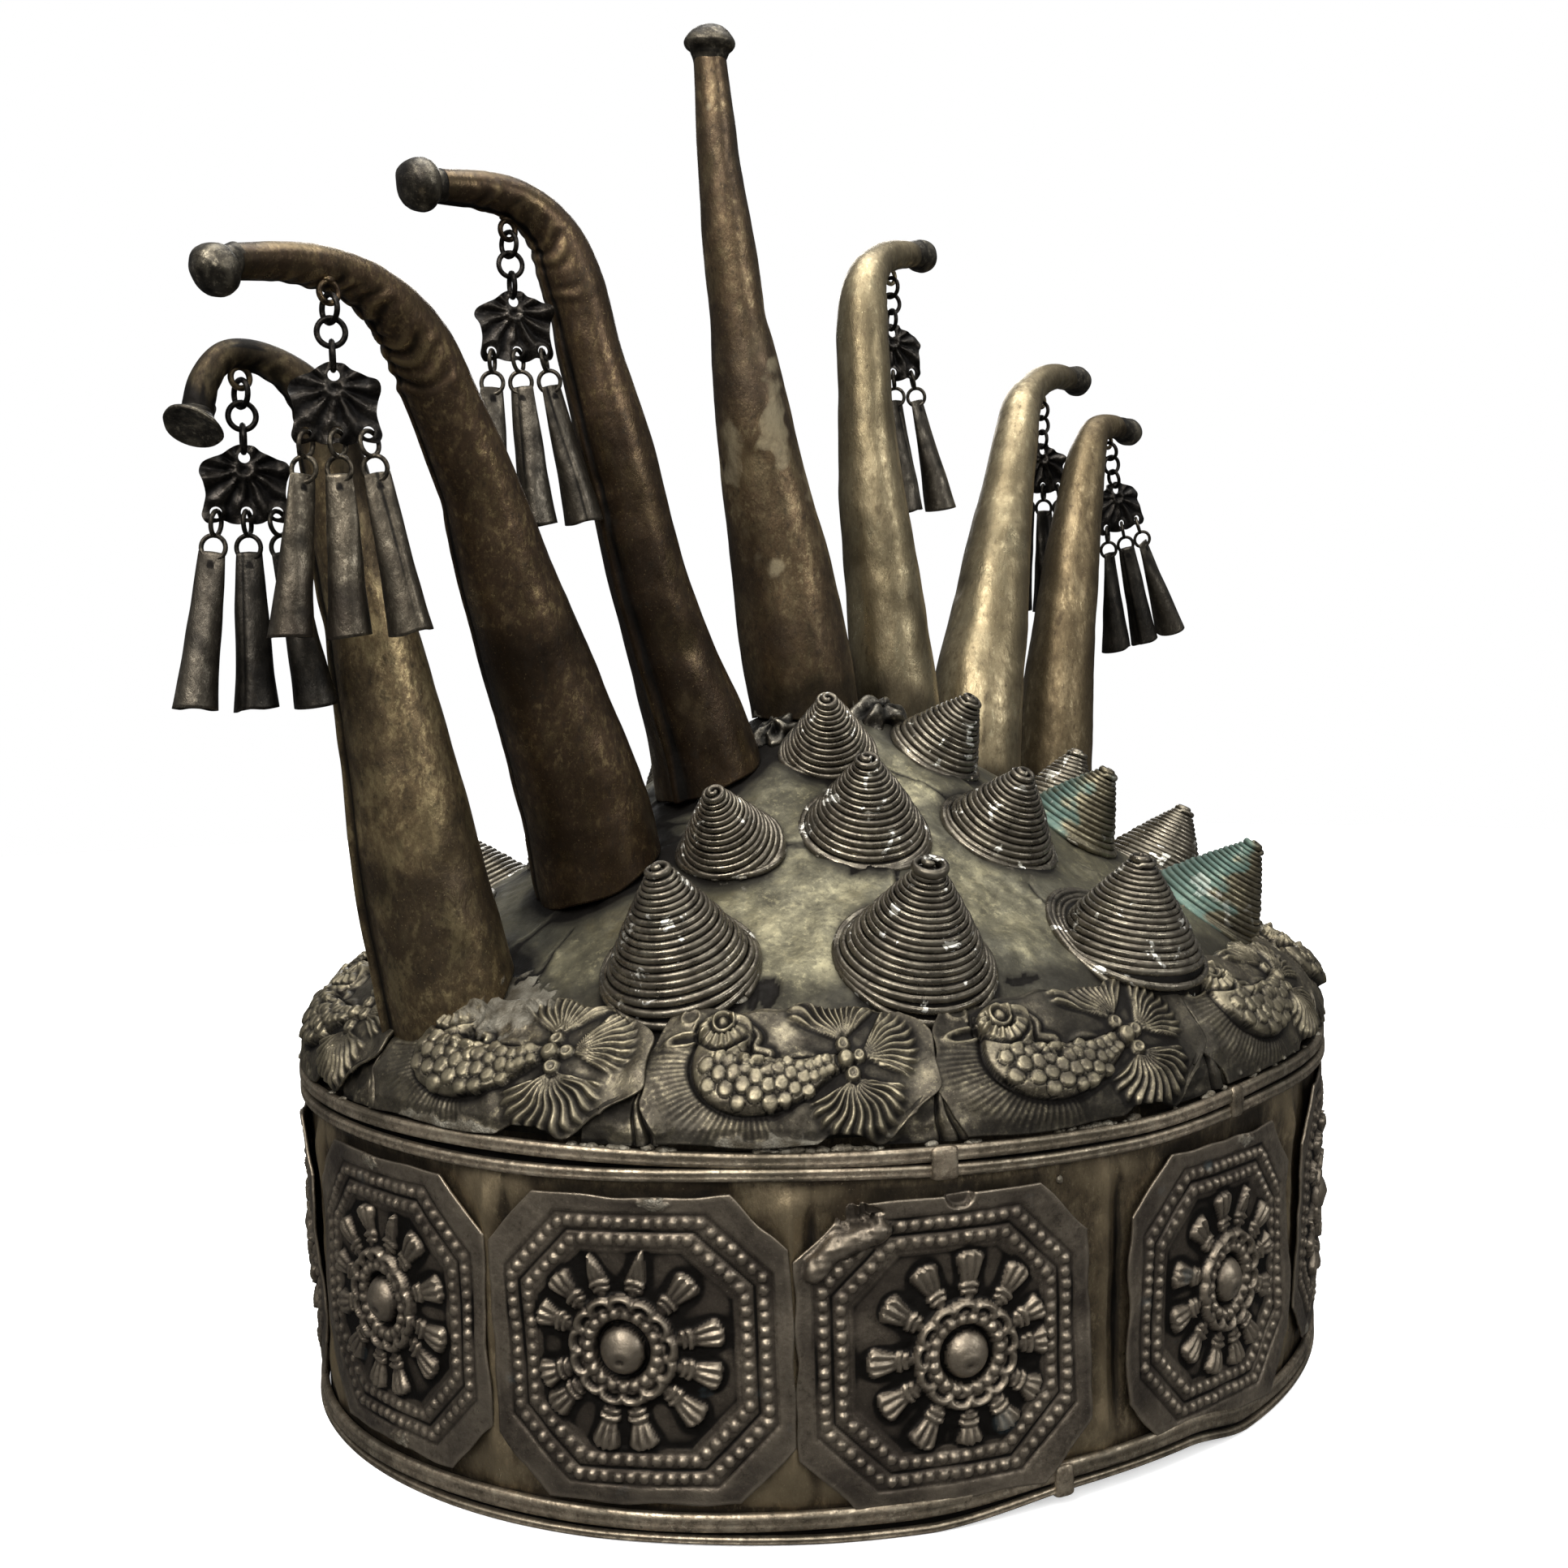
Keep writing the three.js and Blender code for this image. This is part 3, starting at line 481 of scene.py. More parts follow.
M = {
    "cap": metal("cap_sheet", "262420", "5c5847", "8e876b", "4b493f", rough=(0.38, 0.64), size=1.1, seed=1.3, wear_and_highlight=0.42, spots="3e3b32", grain=0.8, mottle=0.3),
    "band": metal("band_sheet", "1a1714", "5f5341", "9e8e70", "473d30", rough=(0.28, 0.52), size=0.8, seed=2.4, wear_and_highlight=0.4, streak=(1, 1, 0.5)),
    "plaque": metal("plaque_sheet", "27221d", "675e52", "867c6c", "463f38", rough=(0.32, 0.55), size=0.7, seed=5.2, wear_and_highlight=0.42, stain="3f4d52", low_mix=0.74, stain_mix=0.5),
    "fish": metal("fish_sheet", "181613", "504a3f", "8f866e", "3e3a32", rough=(0.34, 0.6), size=0.7, seed=6.1, wear_and_highlight=0.34),
    "wire": metal("ring_wire", "1c1916", "887b69", "c2b69f", "665d4e", rough=(0.32, 0.52), size=0.6, seed=7.7, wear_and_highlight=0.45),
    "horn_worn": metal("horn_sheet_worn", "17130e", "685840", "a8976f", "44392b", rough=(0.3, 0.54), size=0.7, seed=23.3, wear_and_highlight=0.5, streak=(1, 1, 0.6), cloud=0.8, mottle=0.7),
    "horn_dark": metal("horn_sheet_dark", "15100c", "4f3f2f", "94815c", "33281d", rough=(0.24, 0.46), size=0.9, seed=3.3, wear_and_highlight=0.4, streak=(1, 1, 0.6), cloud=0.45, mottle=0.32),
    "horn_mid": metal("horn_sheet_mid", "1a150e", "5f4e39", "968766", "40352a", rough=(0.28, 0.5), size=1.0, seed=13.3, wear_and_highlight=0.4, stain="8a8068", streak=(1, 1, 0.6), stain_mix=0.7, cloud=0.6, mottle=0.4),
    "horn_light": metal("horn_sheet_light", "28221a", "877a5f", "b3a888", "5e543f", rough=(0.28, 0.48), size=0.9, seed=4.6, wear_and_highlight=0.45, spots="463c2d", streak=(1, 1, 0.45), cloud=0.5, mottle=0.2),
    "horn_warm": metal("horn_sheet_warm", "241d14", "5f533d", "94866a", "4c412f", rough=(0.36, 0.56), size=0.9, seed=14.6, wear_and_highlight=0.36, spots="3a3024", streak=(1, 1, 0.45), cloud=0.5, mottle=0.2),
    "tip": metal("tip_metal", "0c0b0a", "3a362f", "8a8270", "24211d", rough=(0.28, 0.5), size=0.5, seed=24.1, wear_and_highlight=0.36, cloud=0.8, mottle=0.2),
    "cone": metal("cone_wire", "151310", "565047", "98917f", "423d35", rough=(0.28, 0.48), size=0.6, seed=8.8, wear_and_highlight=0.35, bump=0.25, grain=0.8, lacquer=0.22, low_mix=0.82, mottle=0.3, lime_and_glint=0.8),
    "patina": metal("cone_wire_patina", "15150f", "575142", "8c846b", "443f34", rough=(0.3, 0.5), size=0.6, seed=9.4, wear_and_highlight=0.35, stain="4b635d", low_mix=0.8, stain_mix=0.75, lime_and_glint=0.2),
    "shell": metal("shell_metal", "070606", "201d1a", "514c46", "151311", rough=(0.26, 0.45), size=0.5, seed=12.2, wear_and_highlight=0.3),
    "scrap": metal("scrap_sheet", "080807", "33302b", "7d786c", "1d1b18", rough=(0.26, 0.45), size=0.5, seed=15.2, wear_and_highlight=0.4),
    "pendant": metal("pendant_metal", "0c0b0a", "433e36", "756e61", "2d2923", rough=(0.3, 0.5), size=0.5, seed=10.2, wear_and_highlight=0.34, streak=(1, 1, 0.6), cloud=0.7, mottle=0.15, grain=0.8),
    "pendant_pale": metal("pendant_metal_pale", "11100e", "443e34", "787061", "352f28", rough=(0.3, 0.5), size=0.5, seed=11.2, wear_and_highlight=0.38, streak=(1, 1, 0.6), cloud=0.7, mottle=0.2),
    "pendant_dark": metal("pendant_metal_dark", "090807", "2c2924", "5a544b", "1c1a17", rough=(0.3, 0.5), size=0.5, seed=16.2, wear_and_highlight=0.3, streak=(1, 1, 0.6), cloud=0.6, mottle=0.15, grain=0.8),
}


# ------------------------------------------------------------------ the cap
def seg_dist(x, y, a, b):
    """Distance to a segment, signed distance across it, and the place along it (0 to 1)."""
    ax, ay = a
    bx, by = b
    dx, dy = bx - ax, by - ay
    L = math.hypot(dx, dy)
    t = ((x - ax) * dx + (y - ay) * dy) / (L * L)
    tc = np.clip(t, 0, 1)
    d = np.hypot(x - ax - dx * tc, y - ay - dy * tc)
    side = ((x - ax) * dy - (y - ay) * dx) / L
    return d, side, t


def cap_marks():
    """Seams, sheet steps, torn holes and solder, placed where the photo shows them."""
    seams = []
    for pts in (
        [(655, 1215), (680, 1175), (705, 1145)],
        [(1100, 952), (1135, 966), (1167, 990)],
        [(1268, 1093), (1284, 1112), (1298, 1127)],
        [(880, 1010), (850, 1030), (820, 1042)],
        [(1050, 1080), (1068, 1071), (1094, 1074)],
        [(1330, 1060), (1350, 1072), (1380, 1085)],
    ):
        P = [on_cap(*p) for p in pts]
        P = [p for p in P if p is not None]
        for a, b in zip(P[:-1], P[1:]):
            seams.append((a[:2], b[:2], 0.22, 0.35))
    holes = []
    for px, py, rx, ry, turn in ((948, 1221, 2.5, 1.5, 0.3), (1262, 1206, 3.0, 0.8, -0.3), (930, 1227, 1.9, 0.6, 0.5)):
        p = on_cap(px, py)
        if p is not None:
            holes.append((p[:2], rx, ry, turn))
    crust = [(on_cap(px, py)[:2], r) for px, py, r in ((585, 1240, 5.0), (612, 1232, 5.0), (640, 1222, 4.0), (662, 1232, 3.0))]
    return seams, holes, crust


def make_cap():
    n, m = 1080, 160
    a = TAU * np.arange(n) / n
    rho = 98.9 * (1 - (1 - np.linspace(0.012, 1, m)) ** 1.0)
    R, A = np.meshgrid(rho, a, indexing="xy")
    R = np.broadcast_to(rho, (n, m)).copy()
    A = np.broadcast_to(a[:, None], (n, m)).copy()
    x, y = R * np.cos(A), OVAL * R * np.sin(A)
    z = cap_z(x, y)
    P2 = np.stack([x, y], -1)
    fade = smooth(R, 99, 90)
    d = np.zeros_like(R)
    d += 0.38 * waves(P2, 34, 11) * fade
    d += 0.2 * waves(P2, 13, 12) * fade
    d += 0.06 * waves(P2, 4.5, 13) * fade
    rel = np.full_like(R, 0.5)
    # overlapping sheet panels: each laps over its neighbour along a bent radial line
    for k in range(7):
        ph = 0.35 + k * TAU / 7 + [0, 0.12, -0.1, 0.05, 0.16, -0.12, 0.04][k]
        bend = 0.10 * np.sin(R / 17 + k) + 0.05 * np.sin(R / 7 + 2 * k)
        da = (A - ph - bend + math.pi) % TAU - math.pi
        s = da * np.maximum(R, 8)
        reach = smooth(R, 24, 34) * smooth(R, 96, 88)
        d += 0.45 * smooth(s, 0.35, -0.35) * smooth(s, -26, -3) * reach
        # a painted shadow line along each lap's edge and a painted highlight just beside it on the raised lip
        rel -= 0.42 * np.exp(-((s - 0.35) / 0.4) ** 2) * reach
        rel += 0.16 * np.exp(-((s + 0.7) / 0.6) ** 2) * reach
    # a crossways lap round the crown
    ring = 47 + 2.5 * np.sin(3 * A + 1) + 1.5 * np.sin(7 * A)
    s = R - ring
    part = smooth(np.sin(2 * A + 0.7), -0.2, 0.3)
    d += 0.4 * smooth(s, 0.4, -0.4) * smooth(s, -14, -2) * part
    # a painted shadow line along the lap's edge and a painted highlight just beside it on the raised lip
    rel -= 0.4 * np.exp(-((s - 0.35) / 0.4) ** 2) * part
    rel += 0.15 * np.exp(-((s + 0.8) / 0.6) ** 2) * part
    seams, holes, crusts = cap_marks()
    for (p, q, w, depth) in seams:
        dd, side, t = seg_dist(x, y, p, q)
        g = np.exp(-((dd / 0.42) ** 2))
        d -= depth * g
        rel -= 0.55 * g
        near = np.exp(-((dd / 2.2) ** 2)) * (t > -0.1) * (t < 1.1)
        d += 0.3 * near * smooth(side, -0.3, 0.3)
    for (p, rx, ry, turn) in holes:
        c, s_ = math.cos(turn), math.sin(turn)
        u = (x - p[0]) * c + (y - p[1]) * s_
        v = -(x - p[0]) * s_ + (y - p[1]) * c
        th = np.arctan2(v, u)
        e = np.hypot(u / rx, v / ry) * (1 + 0.16 * np.sin(2 * th + turn * 9) + 0.1 * np.sin(3 * th + 1))
        d = np.where(e < 1.5, d * smooth(e, 0.9, 1.5), d)
        d -= 0.5 * smooth(e, 1.08, 0.86)
        # the dented hole is painted near black: painted shade where the opening would be
        rel = np.where(e < 1.12, rel * smooth(e, 0.95, 1.12), rel)
    torn = np.ones_like(R)
    for (p, rx, ry, turn) in holes:
        torn *= smooth(np.hypot((x - p[0]) / (rx * 1.3), (y - p[1]) / (rx * 1.3)), 1.0, 1.4)
    crust = np.zeros_like(R)
    for (p, r) in crusts:
        e = np.hypot(x - p[0], y - p[1]) / r
        g = smooth(e + 0.25 * waves(P2, 2.2, 15), 1.1, 0.3)
        crust = np.maximum(crust, g)
    d += crust * (0.6 + 0.35 * waves(P2, 1.6, 16))
    # painted shade round what stands on the cap, and each cone has its ring of solder
    for name, (cx, cy, ax, ay, az, h, r) in CONES.items():
        e = np.hypot(x - cx, y - cy)
        rel -= 0.5 * np.exp(-np.maximum(e - r * 0.86, 0) ** 2 / 5.0)
        crust = np.maximum(crust, 0.36 * smooth(e, r + 3.4, r + 0.3) * smooth(waves(P2, 5, 17), 0.0, 1.2))
    for k, rows in HORNS.items():
        hx, hy, hr = rows[0][0], rows[0][1], rows[0][3]
        e = np.hypot(x - hx, y - hy)
        rel -= 0.55 * np.exp(-np.maximum(e - hr, 0) ** 2 / 9.0)
    # painted shade on the cap under and behind the fish plaques, going near black towards the rim
    rel -= 0.34 * smooth(R, 76, 84) * smooth(R, 98, 88)
    rel *= 1 - 0.8 * smooth(R, 90.5, 94.5)
    crust *= torn
    rel = np.clip(rel + 0.05 * waves(P2, 9, 18), 0, 1)
    nrm = cap_normal(x, y)
    P = np.stack([x, y, z], -1) + nrm * (d * smooth(R, 98.9, 96))[..., None]
    # inside
    mi = 26
    ri = np.linspace(98.0, 1.2, mi)
    RI = np.broadcast_to(ri, (n, mi))
    AI = np.broadcast_to(a[:, None], (n, mi))
    xi, yi = RI * np.cos(AI), OVAL * RI * np.sin(AI)
    zi = cap_z(xi, yi)
    Pi = np.stack([xi, yi, zi], -1) - cap_normal(xi, yi) * 0.9
    Pi[:, 0, 2] = 56.4
    V = np.concatenate([P, Pi], 1)
    W = m + mi
    q = grid_quads(n, W, True, False)
    V = V.reshape(-1, 3)
    rel = np.concatenate([rel, np.full((n, mi), 0.32)], 1).ravel()
    crust = np.concatenate([crust, np.zeros((n, mi))], 1).ravel()
    top, low = len(V), len(V) + 1
    V = np.vstack([V, [[0, 0, 117.0]], [[0, 0, 116.0]]])
    i = np.arange(n)
    j = (i + 1) % n
    t = np.vstack([np.stack([np.full(n, top), i * W, j * W], 1), np.stack([np.full(n, low), j * W + W - 1, i * W + W - 1], 1)])
    build("cap_dome_sheet", V, q[:, ::-1], t, M["cap"], {"relief": np.r_[rel, 0.5, 0.3], "crust": np.r_[crust, 0, 0]},
          stands_for=["cap_dome"], slot="cap_sheet")


# ------------------------------------------------------------------ band, rings
def foot_bend(share):
    """The lower edge is knocked up a little at the front right."""
    t = np.asarray(share, float) * 12 % 12
    return 2.2 * smooth(t, 7.7, 8.3) * smooth(t, 9.1, 8.75)


def ring_dip(share):
    """The top ring sags a little at the front."""
    t = np.asarray(share, float) * 12 % 12
    return -0.9 * smooth(t, 5.4, 7.0) * smooth(t, 9.3, 8.5) - 0.9 * smooth(t, 7.0, 8.2) * smooth(t, 9.2, 8.4)


def make_band():
    n, mo, mi = 1200, 70, 8
    share = np.arange(n) / n
    z = np.linspace(-2.0, 56.0, mo)
    ux, uy, tx, ty, nx, ny = oval_at(share)
    Z = np.broadcast_to(z, (n, mo))
    mids = np.array([q[0] for q in PLAQUE_AT] + [12.0])
    gaps = (mids[:-1] + mids[1:]) / 2
    off = share[:, None] * 12 - gaps[None]
    off = (off + 6) % 12 - 6
    pick_ = np.argmin(np.abs(off), 1)
    off = off[np.arange(n), pick_][:, None] * 49.4  # mm from the middle between two plaques
    v = Z - 27.3
    S = share[:, None] * 590 + 0 * Z
    Q = np.stack([np.cos(TAU * share)[:, None] * 94 + 0 * Z, np.sin(TAU * share)[:, None] * 94 + 0 * Z, Z], -1)
    d = 0.12 * waves(Q, 16, 31) + 0.07 * waves(Q, 6, 32)
    rel = 0.5 + 0.07 * waves(Q, 9, 33)
    # an upright channel with a rounded fold on each side, spreading to a soft gusset above and below
    open_ = smooth(np.abs(v), 15.5, 23)
    mid_ = 1 - open_
    wide = 0.75 * mid_ + 0.25
    d -= 0.6 * np.exp(-(((off - 2.6) / 0.9) ** 2)) * wide
    d += 0.9 * np.exp(-(((off + 0.6) / 1.9) ** 2)) * wide + 0.35 * np.exp(-(((off + 0.3) / 0.6) ** 2)) * wide
    # a painted shade line in the channel by the next plaque's edge, and a painted highlight on the fold
    rel -= 0.55 * np.exp(-(((off - 2.7) / 0.8) ** 2)) * wide
    rel += 0.26 * np.exp(-(((off + 0.4) / 1.8) ** 2)) * wide
    g = np.exp(-((off / 6.0) ** 2)) * np.exp(-(((np.abs(v) - 20.0) / 4.2) ** 2))
    d += 0.8 * g
    # painted highlight on the gussets
    rel += 0.3 * g
    rel += 0.16 * (1 - smooth(np.abs(off), 6, 10)) * smooth(np.abs(v), 18, 22)
    # painted shade on the band behind the plaques, going near black at the top and bottom behind the wire bars
    rel -= 0.3 * smooth(np.abs(off), 9, 13) * (1 - smooth(np.abs(v), 22.5, 24))
    rel *= 1 - smooth(Z, 50.5, 53.2) * 0.98
    rel *= 1 - smooth(Z, 3.4, 1.4) * 0.95
    a = band_out(Z)
    X = ux[:, None] * a + nx[:, None] * d
    Y = uy[:, None] * a + ny[:, None] * d
    dip = ring_dip(share)[:, None]
    P = np.stack([X, Y, Z + foot_bend(share)[:, None] * smooth(Z, 9, 0) + dip * smooth(Z, 44, 52)], -1)
    zi = np.linspace(56.0, -2.0, mi)
    ZI = zi[None] + foot_bend(share)[:, None] * smooth(zi, 9, 0)[None] + dip * smooth(zi, 44, 52)[None]
    ai = band_out(ZI) - 0.9
    Pi = np.stack([ux[:, None] * ai, uy[:, None] * ai, ZI], -1)
    V = np.concatenate([P, Pi], 1)
    W = mo + mi
    rel = np.concatenate([np.clip(rel, 0, 1), np.full((n, mi), 0.3)], 1)
    build("band_sheet_wall", V, grid_quads(n, W, True, True)[:, ::-1], (), M["band"],
          {"relief": rel.ravel(), "crust": np.zeros(n * W)}, stands_for=["band_shell"], slot="plaque_sheet")


def ring_bar(parts, a, z, seed, height=1.0):
    """A flattened double bar bent round the oval."""
    n = 720
    share = np.arange(n) / n
    ux, uy, tx, ty, nx, ny = oval_at(share)
    rng = np.random.default_rng(seed)
    dz, da = np.zeros(n), np.zeros(n)
    for f in range(2, 11):
        dz += 0.10 * math.sqrt(2 / f) * np.sin(TAU * f * share + rng.uniform(0, TAU))
        da += 0.07 * math.sqrt(2 / f) * np.sin(TAU * f * share + rng.uniform(0, TAU))
    dz += foot_bend(share) if z < 5 else ring_dip(share)
    if z < 0:
        dz = np.clip(dz, -0.05, None)
    t = TAU * np.arange(20) / 20
    sz = np.sin(t)
    # two rounded wires side by side: waist the section at its middle
    out = np.sign(np.cos(t)) * (0.78 * np.sqrt(np.clip(1 - (np.abs(sz) * 2 - 1) ** 2 * 0.5, 0.05, 1)) * np.abs(np.cos(t)) ** 0.35)
    zz = sz * 1.02 * height
    R = a + da[:, None] + out[None] * 0.95
    Z = z + dz[:, None] + zz[None] + 0 * R
    P = np.stack([ux[:, None] * R, uy[:, None] * R, Z], -1)
    # painted highlight along the middle of each wire's outer face and a little more on the upper half; painted shade
    # in the waist between the wires, on the inner face and along the top and bottom edges
    rel = 0.38 + 0.34 * np.clip(np.abs(np.abs(sz) * 2 - 1) * -1.4 + 1, 0, 1) * (out > 0) + 0.08 * (sz > 0) - 0.12 * (np.abs(sz) > 0.9)
    rel = np.broadcast_to(rel, (n, 20)) + 0.06 * waves(P, 9, seed + 5)
    parts.add(P, grid_quads(n, 20, True, True), relief=np.clip(rel, 0, 1), crust=0.0)


def lump(parts, c, u, v, w, ru, rv, rw, seed, n=18, m=10, rel=0.5, crust=0.0, rough=0.15):
    """A rounded, uneven blob: axes u, v, w with half sizes."""
    a = TAU * np.arange(n) / n
    b = np.linspace(-math.pi / 2, math.pi / 2, m + 2)[1:-1]
    A, B = np.meshgrid(a, b, indexing="ij")
    D = np.stack([np.cos(B) * np.cos(A), np.cos(B) * np.sin(A), np.sin(B)], -1)
    D = np.vstack([D.reshape(-1, 3), [[0, 0, -1]], [[0, 0, 1]]])
    k = 1 + rough * waves(D, 1.3, seed)
    P = np.asarray(c) + (D[:, :1] * ru * unit(u) + D[:, 1:2] * rv * unit(v) + D[:, 2:] * rw * unit(w)) * k[:, None]
    q = grid_quads(n, m, True, False)
    lo, hi = n * m, n * m + 1
    i = np.arange(n)
    j = (i + 1) % n
    t = np.vstack([np.stack([np.full(n, lo), j * m, i * m], 1), np.stack([np.full(n, hi), i * m + m - 1, j * m + m - 1], 1)])
    det = np.linalg.det(np.stack([unit(u), unit(v), unit(w)]))
    if det > 0:
        q = q[:, ::-1]
    else:
        t = t[:, ::-1]
    q = q[:, ::-1]
    t = t[:, ::-1]
    parts.add(P, q, t, relief=rel, crust=crust)


def clip(parts, share, a, z0, z1, seed, w=1.5):
    """A folded strip that binds two bars."""
    ux, uy, tx, ty, nx, ny = (float(q) for q in oval_at(share))
    c = np.array([ux * a, uy * a, (z0 + z1) / 2 + float(foot_bend(share) if z0 < 0 else ring_dip(share))])
    T, O, U = np.array([tx, ty, 0]), np.array([nx, ny, 0]), np.array([0, 0, 1.0])
    h = (z1 - z0) / 2 + 1.15
    n = 28
    t = TAU * np.arange(n) / n
    sec = np.sign(np.cos(t)) * np.abs(np.cos(t)) ** 0.45 * 0.98, np.sign(np.sin(t)) * np.abs(np.sin(t)) ** 0.45 * h
    cols = np.linspace(-w, w, 9)
    P = []
    for k, s in enumerate(cols):
        e = 1 - 0.10 * (abs(s) / w) ** 4
        P.append(c + T * s + O * (sec[0][:, None] * e) + U * (sec[1][:, None] * e) + 0.05 * waves(np.stack([t, t * 0 + s], -1), 2.0, seed)[:, None] * O)
    V = np.array(P)
    q = grid_quads(9, n, False, True)
    V = np.vstack([V.reshape(-1, 3), [c - T * w], [c + T * w]])
    a0, a1 = 9 * n, 9 * n + 1
    i = np.arange(n)
    j = (i + 1) % n
    tr = np.vstack([np.stack([np.full(n, a0), j, i], 1), np.stack([np.full(n, a1), 8 * n + i, 8 * n + j], 1)])
    parts.add(V, q, tr, relief=0.46, crust=0.15)


def make_rings():
    A = 101.3
    for name, a, zs, node in (("top_ring", A, (52.75, 55.4), "top_wire_rings"), ("base_ring", A * 0.98, (-1.62, 0.98), "base_wire_rings")):
        p = Parts()
        for i, z in enumerate(zs):
            ring_bar(p, a, z, 41 + i + int(zs[0]), ((0.6, 1.36) if zs[0] < 0 else (0.92, 1.12))[i])
        for k, c in enumerate((0.5, 2.5, 4.5, 7.82, 8.97, 10.5) if zs[0] > 0 else (0.5, 2.5, 4.5, 8.22, 10.5)):
            clip(p, c / 12, a + 0.1, *zs, seed=k, w=1.9 if c == 7.82 else 1.5)
        if zs[0] > 0:
            ux, uy, tx, ty, nx, ny = (float(q) for q in oval_at(8.21 / 12))
            a1 = float(band_out(47.4)) + 0.3
            lump(p, [ux * a1, uy * a1, 47.4], [tx, ty, 0], [0, 0, 1], [nx, ny, 0], 0.6, 0.65, 0.5, 78, 12, 8, 0.8, 0.9)
            rng = np.random.default_rng(3)
            for s in np.r_[np.linspace(7.28, 7.62, 26), rng.uniform(0, 12, 60), np.linspace(6.75, 6.95, 10), np.linspace(8.2, 8.5, 12)]:
                s = (s + rng.normal() * 0.01) / 12
                ux, uy, tx, ty, nx, ny = (float(q) for q in oval_at(s))
                r = rng.uniform(0.3, 0.75)
                lump(p, [ux * (a - 0.5), uy * (a - 0.5), 56.5 + float(ring_dip(s)) + rng.uniform(-0.2, 0.2)], [tx, ty, 0], [nx, ny, 0], [0, 0, 1],
                     r * 1.5, r * 1.2, r * 0.8, int(s * 9999), 10, 6, 0.6, 0.8)
        p.done(name + "_bars", M["wire"], stands_for=[node], slot="ring_wire")


# ------------------------------------------------------------------ octagonal plaques
def octagon_points(half, leg, pitch):
    """Points along an octagon with equal gaps."""
    c = half - leg
    P = np.array([(c, half), (half, c), (half, -c), (c, -half), (-c, -half), (-half, -c), (-half, c), (-c, half), (c, half)], float)
    L = np.r_[0, np.cumsum(np.linalg.norm(np.diff(P, axis=0), axis=1))]
    n = int(round(L[-1] / pitch))
    s = np.arange(n) * L[-1] / n
    return np.stack([np.interp(s, L, P[:, 0]), np.interp(s, L, P[:, 1])], 1)


def octagon_sdf(x, y, half, leg):
    return np.maximum(np.maximum(np.abs(x) - half, np.abs(y) - half), (np.abs(x) + np.abs(y) - (2 * half - leg)) / math.sqrt(2))


def bumps(h, x, y, centres, r, height, power=0.5):
    """Adds round beads, touching only the cells near each."""
    gx, gy = x[:, 0], y[0, :]
    for k, (cx, cy) in enumerate(centres):
        rr = r[k] if np.ndim(r) else r
        hh = height[k] if np.ndim(height) else height
        i0, i1 = np.searchsorted(gx, (cx - rr * 1.4, cx + rr * 1.4))
        j0, j1 = np.searchsorted(gy, (cy - rr * 1.4, cy + rr * 1.4))
        if i0 >= i1 or j0 >= j1:
            continue
        d = np.hypot(x[i0:i1, j0:j1] - cx, y[i0:i1, j0:j1] - cy) / rr
        h[i0:i1, j0:j1] = np.maximum(h[i0:i1, j0:j1], h[i0:i1, j0:j1] * 0 + hh * np.clip(1 - d * d, 0, 1) ** power + np.where(d < 1, 0, -9))
    return h


